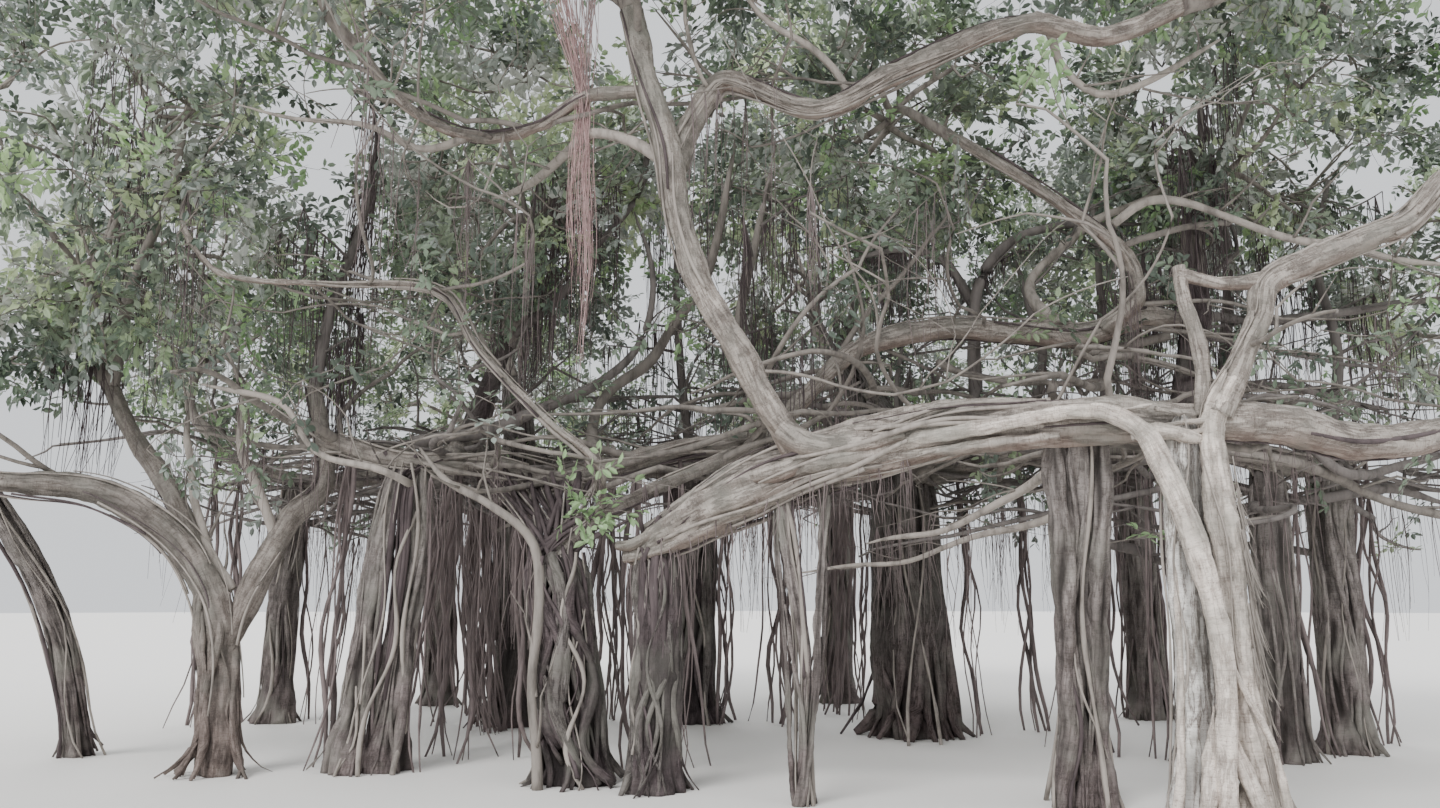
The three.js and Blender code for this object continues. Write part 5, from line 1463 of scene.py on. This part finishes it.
class BANYAN_OT_pillars(bpy.types.Operator):
    """The root pillars"""

    bl_idname = "banyan.pillars"
    bl_label = "Pillars"

    def execute(self, context):
        colours = context.scene.banyan_colours
        grey = bark_material("pillar_bark", colours.pillar, shade(colours.bark_dark, 0.7), colours.stain,
                             low=(0.66, 0.6, 0.62))
        old = bark_material("old_pillar_bark", colours.old_root, shade(colours.old_root, 0.4),
                            shade(colours.stain, 0.5))
        # the roots laid over the dark pillars take the pillar bark at a little over half its brightness
        darkened = bark_material("darkened_root_bark", shade(colours.pillar, 0.58), shade(colours.old_root, 0.5),
                             shade(colours.stain, 0.75), streaky=0.7)
        for seed, (name, (foot, head, width, twist, flare, lean)) in enumerate(PILLARS.items()):
            line = pillar_line(foot, head, lean)
            radius = pillar_radius(width * SLENDER.get(name, 1), 1 + 0.5 * (flare - 1))
            near = name in FRONT
            roots = sunk_roots(line, radius, 38 if near else 22, 260 + seed, near, toes=0.7, twist=twist)
            own = roots[::2] if name in DARK else roots
            if name == "pillar_split":
                skins, own = [], []
                for n, (route, thick) in enumerate(SPLIT_STEMS):
                    stem, stout = Line(route), profile(thick)
                    skins.append(limb_bark(name, stem, stout, 250 + n, twist=0.2))
                    own += sunk_roots(stem, stout, 8 + 10 * n, 256 + n, True, toes=0.8, twist=0.8, stout=0.3)
            else:
                skins = [limb_bark(name, line, radius, 200 + seed, twist=twist)]
            piece = joined([*skins, tube_piece("sunk", own)], f"{name}_bark")
            relief(piece)
            dress(piece, old if name in DARK else grey, "root_bark" if name in DARK else "bark", name)
            if name in DARK:
                over = sunk_roots(line, lambda t, r=radius: 1.07 * r(t), len(roots) // 2, 300 + seed, near,
                                  toes=0.7, twist=twist)
                dress(tube_piece(f"{name}_pale_roots", over), darkened, "root_bark")
        route, thick = BOUGHS["pillar_inner"]
        inner = [(route, slimmed("pillar_inner", thick))]
        inner += [(route, [0.66 * thick[0], *thick[1:]])
                  for owner, route, thick in SPURS if owner == "pillar_inner"]
        for seed, (name, stems) in enumerate((("pillar_inner", inner), ("pillar_forked", FORKED_STEMS))):
            skins = [limb_bark(name, Line(route), profile(thick), 240 + 10 * seed + n, toes=0.12)
                     for n, (route, thick) in enumerate(stems)]
            route, thick = stems[0]
            roots = sunk_roots(Line(route), profile(thick), 24 - 10 * seed, 280 + seed, near=True,
                               twist=0.9, stout=0.32)
            piece = joined([*skins, tube_piece("sunk", roots)], f"{name}_bark")
            relief(piece, 0.016, 0.1)
            dress(piece, grey, "bark", name)
        return {"FINISHED"}


class BANYAN_OT_root_tassel(bpy.types.Operator):
    """The tassel of young red roots"""

    bl_idname = "banyan.root_tassel"
    bl_label = "Root tassel"

    def execute(self, context):
        colours = context.scene.banyan_colours
        rng = np.random.default_rng(8)
        routes = [Line(route) for route in tassel_routes()]
        tubes = []
        carrier = Line(TASSEL_LIMB)
        threads = 60
        for k in range(threads):
            line = routes[k % len(routes)]
            t = np.linspace(0, rng.uniform(0.3, 1) ** 0.8, 20)
            apart = rng.normal(size=2) * 0.034 * (1 - 0.5 * t[:, None])
            sway = [0.012 * wave(t, 1, 4, rng) for _ in (0, 1)]
            points = line.at(t) + np.stack([apart[:, 0] + sway[0], apart[:, 1] + sway[1], 0 * t], -1)
            hung = carrier.at(rng.uniform(0.24, 0.6))
            points = np.vstack([hung, hung * 0.5 + points[0] * 0.5 + np.append(apart[0] * 0.6, 0), points])
            tubes.append((points, np.linspace(0.0042, 0.0018, 22) * rng.uniform(0.6, 1.2), 3))
        thin_piece("red_root_tassel", tubes, "young_root", colours.young_root, 1, 0.5, "young_root",
                   "hanging_root_tassel")
        return {"FINISHED"}


class BANYAN_OT_clinging_roots(bpy.types.Operator):
    """Thin roots that run down the pillars and along the boughs"""

    bl_idname = "banyan.clinging_roots"
    bl_label = "Clinging roots"

    def execute(self, context):
        colours = context.scene.banyan_colours
        rng = np.random.default_rng(31)
        pale, dark = [], []
        limbs = [(name, *pillar_shape(name)) for name in PILLARS]
        limbs += [(name, Line(route), profile(thick)) for name, (route, thick) in BOUGHS.items()]
        limbs += [("trunk", Line(route), profile(thick)) for route, thick in (SLAB_STEM, SHAGGY_STEM)]
        for name, line, radius in limbs:
            upright = is_pillar(name) or name.startswith("trunk")
            near = name in FRONT
            count = (9 if near else 4) if upright else int((4 if near else 1) + 1.2 * line.length)
            if name in ("trunk", "bough_left"):
                count = 3 if name == "trunk" else 30
            steps, sides = (26, 5) if near or name == "trunk" else (16, 4)
            for _ in range(count):
                start = line.above_ground()
                low = start if upright and rng.random() < 0.8 else rng.uniform(start, 0.6)
                high = 1.0 if upright else min(1.0, low + rng.uniform(0.25, 0.6))
                t = np.linspace(low, high, steps)
                angle = rng.uniform(0, TAU) + rng.normal() * 0.9 * (high - t) + 0.3 * wave(t, 1, 2.5, rng)
                spread = 0.35 * rng.random() * near_ground(line.at(t)) if upright else 0
                points = around(line, t, angle, radius(t) * (rng.uniform(0.94, 1.12) + spread))
                thick = rng.uniform(0.006, 0.026) * (1 if upright or name == "bough_left" else 0.7)
                points[:, 2] = np.maximum(points[:, 2], thick)
                if upright and low == start:
                    points[0, 2] = 0
                radii = thick * np.linspace(1, 0.7, steps) * (1 + 0.25 * np.sin(TAU * (3 * t + rng.random())))
                dull = name != "trunk" and rng.random() < (0.6 if name in DARK else 0.3)
                (dark if dull else pale).append((points, radii, sides))
        steps = 18
        for name, targets in HEADS.items():
            line, width = pillar_shape(name)[0], PILLARS[name][2]
            for k in range(18 * len(targets)):
                angle = rng.uniform(0, TAU)
                out = np.array([math.cos(angle), math.sin(angle), 0]) * width
                low, mid, high = (line.at(t) for t in (rng.uniform(0.25, 0.45), 0.7, 0.97))
                end = np.array(targets[k % len(targets)]) + rng.normal(size=3) * [0.12, 0.06, 0.03]
                route = [low + out * 0.34, mid + out * 0.43, high + out * rng.uniform(0.2, 0.4), end]
                thick = rng.uniform(0.01, 0.034) if k % 4 else rng.uniform(0.006, 0.014)
                radii = thick * (0.6 + 0.4 * np.sin(np.linspace(0.2, 2.6, steps)))
                (dark if k % 4 else pale).append((Line(route).at(np.linspace(0, 1, steps)), radii, 6))
        for name, tubes, colour, slot in (
                ("pale_clinging_roots", pale, shade(colours.bark_pale, 0.92), "bark"),
                ("dark_clinging_roots", dark, colours.old_root, "root_bark")):
            thin_piece(name, tubes, name, colour, 1, 0.45, slot)
        return {"FINISHED"}


class BANYAN_OT_winding_limbs(bpy.types.Operator):
    """Thin limbs that wander through the tree: pale ones at the front, darker ones further in, their darker
    colour being painted shade
    """

    bl_idname = "banyan.winding_limbs"
    bl_label = "Winding limbs"

    def execute(self, context):
        colours = context.scene.banyan_colours
        limbs = crown().winding + crown().carriers
        near = [limb for limb in limbs if limb[0][0, 1] < FRONT_DEPTH]
        far = [limb for limb in limbs if limb[0][0, 1] >= FRONT_DEPTH]
        # painted light and shade: the limbs in the light take the pale bark a little brighter, the others
        # near the front take it at two thirds, and those further in take the pillar bark darkened
        for name, colour, chosen in (("sunlit_limbs", shade(colours.bark_pale, 1.05), crown().sunlit),
                                     ("pale_winding_limbs", shade(colours.bark_pale, 0.68), near),
                                     ("dark_winding_limbs", shade(colours.pillar, 0.8), far)):
            tubes = [(at, radii, 4 if radii[0] < 0.03 else 5 if radii[0] < 0.05 else 8)
                     for at, radii in chosen]
            thin_piece(name, tubes, name, colour, 1, 0.45, "bark")
        return {"FINISHED"}


class BANYAN_OT_prop_roots(bpy.types.Operator):
    """Thin roots that have reached the ground under the back of the tree"""

    bl_idname = "banyan.prop_roots"
    bl_label = "Prop roots"

    def execute(self, context):
        colours = context.scene.banyan_colours
        sizes = context.scene.banyan_sizes
        rng = np.random.default_rng(52)
        tubes = []
        for k in range(sizes.prop_roots):
            line = Line(BOUGHS[ROOT_HOSTS[k % len(ROOT_HOSTS)]][0])
            top = line.at(rng.uniform(0.1, 0.95))
            lean = rng.normal(size=2) * 0.2
            for _ in range(rng.integers(2, 6)):
                t = np.linspace(0, 1, 15)
                drift = Ripple(rng.integers(1 << 20), 6)
                apart = rng.normal(size=2) * 0.07
                down = np.stack([top[0] + (lean[0] + apart[0]) * t, top[1] + (lean[1] + apart[1]) * t,
                                 top[2] * (1 - t)], -1)
                for axis in (0, 1):
                    down[:, axis] += 0.05 * drift(down + 9 * axis, 0.6) * np.sin(math.pi * t) ** 0.5
                down[:, :2] += rng.normal(size=2) * 0.13 * t[:, None] ** 7
                thick = rng.uniform(0.008, 0.03)
                tubes.append((down, thick * (1 + 0.2 * np.sin(9 * t + k)) * (1 - 0.35 * t ** 6), 5))
        thin_piece("prop_roots", tubes, "prop_root", colours.thin_root, 1, 0.4, "root_bark")
        return {"FINISHED"}


def thread(top, length, radius, rng):
    """One hanging root: its points, radii and sides."""
    low = top[2] - length
    if all(WALKWAY[0][k] - 0.1 < top[k] < WALKWAY[1][k] + 0.1 for k in (0, 1)):
        low = max(low, WALKWAY[1][2] + 0.05)
    t = np.linspace(0, 1, 6)
    sway = rng.normal(size=2)[:, None] * 0.035 * length * np.sin(math.pi * t * rng.uniform(0.6, 2.4)) + (
        rng.normal(size=2)[:, None] * 0.025 * t)
    points = np.stack([top[0] + sway[0], top[1] + sway[1], top[2] + (low - top[2]) * t], -1)
    return points, radius * (1 - 0.6 * t), 3


class BANYAN_OT_hanging_roots(bpy.types.Operator):
    """Threads of root that hang from the limbs in clusters, thick as curtains in places"""

    bl_idname = "banyan.hanging_roots"
    bl_label = "Hanging roots"

    def execute(self, context):
        colours = context.scene.banyan_colours
        sizes = context.scene.banyan_sizes
        rng = np.random.default_rng(47)
        strand_threads, limb_threads, curtain_threads = 90, 120, 27
        shares = np.linspace(0.08, 1, 50)
        hangers = [(Line(route).at(shares), along(thick, shares))
                   for name, (route, thick) in BOUGHS.items() if not is_pillar(name)]
        hangers = [row for row in hangers if row[0][:, 2].min() > 1.5] + crown().winding
        weights = []
        for spots, _ in hangers:
            bare = spots[0, 1] < BARE_FRONT and spots[0, 2] < 4
            weights.append(len(spots) * (0.2 if bare else 2 if spots[-1, 2] < ROOF else 1))
        weights = np.array(weights)
        tubes = []
        for _ in range(sizes.root_clusters):
            spots, radii = hangers[rng.choice(len(hangers), p=weights / weights.sum())]
            middle, reach = rng.integers(len(spots)), rng.uniform(0.3, 2.2)
            for _ in range(rng.integers(4, 22)):
                n = int(np.clip(middle + rng.normal() * 2.5, 0, len(spots) - 1))
                top = spots[n] - UP * radii[n] * 0.7
                length = min(reach * rng.uniform(0.35, 1.1), top[2] - LOWEST_THREAD)
                if length > 0.15:
                    tubes.append(thread(top, length, rng.uniform(0.003, 0.0065), rng))
        strand = Line(BOUGH_STRANDS[0][0])
        for _ in range(strand_threads):
            top = strand.at(rng.uniform(0.3, 1)) + rng.normal(size=3) * 0.05
            tubes.append(thread(top, rng.uniform(0.12, 0.7), rng.uniform(0.003, 0.008), rng))
        curtains = []
        for route, thick, _ in HAIRY_LIMBS:
            line = Line(route)
            for _ in range(limb_threads):
                share = rng.beta(3, 2)
                length = rng.uniform(0.1, 0.6) * (1.2 - share)
                top = line.at(share) - UP * 0.5 * thick
                curtains.append(thread(top, length, rng.uniform(0.004, 0.01), rng))
        for spots, radii in crown().carriers:
            for _ in range(curtain_threads):
                n = rng.integers(1, len(spots))
                length = min(rng.uniform(0.5, 2.2), spots[n][2] - LOWEST_CURTAIN)
                if length > 0.2:
                    curtains.append(thread(spots[n], length, rng.uniform(0.004, 0.009), rng))
        thin_piece("root_curtains", curtains, "curtain_root", colours.old_root, 1.35, 0.6, "root_bark")
        thin_piece("hanging_roots", tubes, "hanging_root", colours.thin_root, 1.1, 0.5, "root_bark")
        return {"FINISHED"}


class BANYAN_OT_twigs(bpy.types.Operator):
    """The twigs that carry the leaves"""

    bl_idname = "banyan.twigs"
    bl_label = "Twigs"

    def execute(self, context):
        colours = context.scene.banyan_colours
        sizes = context.scene.banyan_sizes
        grown = crown()
        bark = root_material("twig_bark", shade(colours.bark_pale, 0.75), shade(colours.bark_dark, 0.9))
        dress(tube_piece("twigs", grown.twigs), bark, "foliage")
        axes, shoots, leaves = spray_parts(grown.sprays, sizes)
        _grown["leaves"] = leaves
        dress(tube_piece("spray_stalks", axes), bark, "foliage")
        points, faces = spike_arrays(shoots, 0.0035)
        dress(piece_of("leaf_shoots", points, faces), bark, "foliage")
        return {"FINISHED"}


class BANYAN_OT_leaves(bpy.types.Operator):
    """The leaves, dealt out by spray to their colours"""

    bl_idname = "banyan.leaves"
    bl_label = "Leaves"

    def execute(self, context):
        sizes = context.scene.banyan_sizes
        shoots = _grown["leaves"]
        rng = np.random.default_rng(63)
        # the colour is dealt to runs of shoots, so that a whole spray has it
        dealt = rng.choice(len(LEAF_COLOURS), size=len(shoots) // SHOOT_RUN + 1, p=LEAF_SHARES)
        runs = np.repeat(dealt, SHOOT_RUN)[:len(shoots)]
        sprig = [k for k, shoot in enumerate(shoots) if np.linalg.norm(shoot[0, :3] - SPRIG_FOOT) < 0.9]
        runs[sprig] = list(LEAF_COLOURS).index("leaves_fresh")
        nodes = [m[0] for m in MASSES]
        for k, (name, colour) in enumerate(LEAF_COLOURS.items()):
            rows = np.vstack([shoot for shoot, run in zip(shoots, runs) if run == k])
            rows = rows[in_box(rows[:, :3] + rows[:, 3:6] * rows[:, 9:10] * sizes.leaf_length)]
            deep = crown().depth(rows[:, :3]) > INSIDE
            inner = [part * gain for part, gain in zip(colour, LIT_THROUGH)]
            for label, chosen, length, shown in (
                    (name, rows[~deep], sizes.leaf_length, colour),
                    (f"{name}_inside", rows[deep], sizes.inner_leaf_length, inner)):
                points, faces = leaf_arrays(chosen, length, label == name)
                dress(piece_of(label, points, faces, smooth=False), plain_material(label, shown, 0.4),
                      "foliage", *nodes)
        return {"FINISHED"}


class BANYAN_OT_stage(bpy.types.Operator):
    """The floor, the light and the camera"""

    bl_idname = "banyan.stage"
    bl_label = "Stage"

    def execute(self, context):
        colours = context.scene.banyan_colours
        eye, tilt, lens, film = (-3.6, -8.4, 1.64), 9.84, 28.25, 36
        deselect()
        bpy.ops.mesh.primitive_circle_add(vertices=96, radius=160, fill_type="NGON", location=(-3, 5, 0))
        floor = context.object
        floor.name = "floor"
        bpy.ops.object.transform_apply(location=True)
        floor.data.materials.append(plain_material("floor", colours.floor, 0.9))
        world = bpy.data.worlds.new("sky")
        context.scene.world = world
        world.use_nodes = True
        sky = world.node_tree.nodes["Background"].inputs
        sky["Color"].default_value = (0.93, 0.96, 1.0, 1)
        sky["Strength"].default_value = 1.1
        for name, place, angle, power in (("key", (-7, -12, 11), 30, 2.9), ("fill", (10, -8, 9), 60, 0.5),
                                          ("back", (-2, 16, 12), 50, 1.5)):
            deselect()
            bpy.ops.object.light_add(type="SUN", location=place)
            light = context.object
            light.name = name
            light.data.angle = math.radians(angle)
            light.data.energy = power
            light.rotation_euler = (-Vector(place)).to_track_quat("-Z", "Y").to_euler()
        deselect()
        bpy.ops.object.camera_add(location=eye, rotation=(math.radians(90 + tilt), 0, 0))
        camera = context.object
        camera.data.lens = lens
        camera.data.sensor_width = film
        camera.data.clip_end = 500
        context.scene.camera = camera
        return {"FINISHED"}


OPERATORS = (BANYAN_OT_trunk, BANYAN_OT_boughs, BANYAN_OT_pillars, BANYAN_OT_root_tassel,
             BANYAN_OT_clinging_roots, BANYAN_OT_winding_limbs, BANYAN_OT_prop_roots, BANYAN_OT_hanging_roots,
             BANYAN_OT_twigs, BANYAN_OT_leaves, BANYAN_OT_stage)


class BANYAN_PT_panel(bpy.types.Panel):
    """Lists the banyan's sizes, colours and pieces"""

    bl_idname = "BANYAN_PT_panel"
    bl_label = "Banyan Tree"
    bl_space_type = "VIEW_3D"
    bl_region_type = "UI"
    bl_category = "Banyan"

    def draw(self, context):
        for group in (context.scene.banyan_sizes, context.scene.banyan_colours):
            box = self.layout.box()
            for name in group.__annotations__:
                box.prop(group, name)
        for operator in OPERATORS:
            self.layout.operator(operator.bl_idname)


CLASSES = (BanyanSizes, BanyanColours, *OPERATORS, BANYAN_PT_panel)


def register():
    for cls in CLASSES:
        bpy.utils.register_class(cls)
    bpy.types.Scene.banyan_sizes = PointerProperty(type=BanyanSizes)
    bpy.types.Scene.banyan_colours = PointerProperty(type=BanyanColours)


def unregister():
    del bpy.types.Scene.banyan_colours
    del bpy.types.Scene.banyan_sizes
    for cls in reversed(CLASSES):
        bpy.utils.unregister_class(cls)


def main():
    register()
    for operator in OPERATORS:
        group, name = operator.bl_idname.split(".")
        getattr(getattr(bpy.ops, group), name)()


if __name__ == "__main__":
    main()
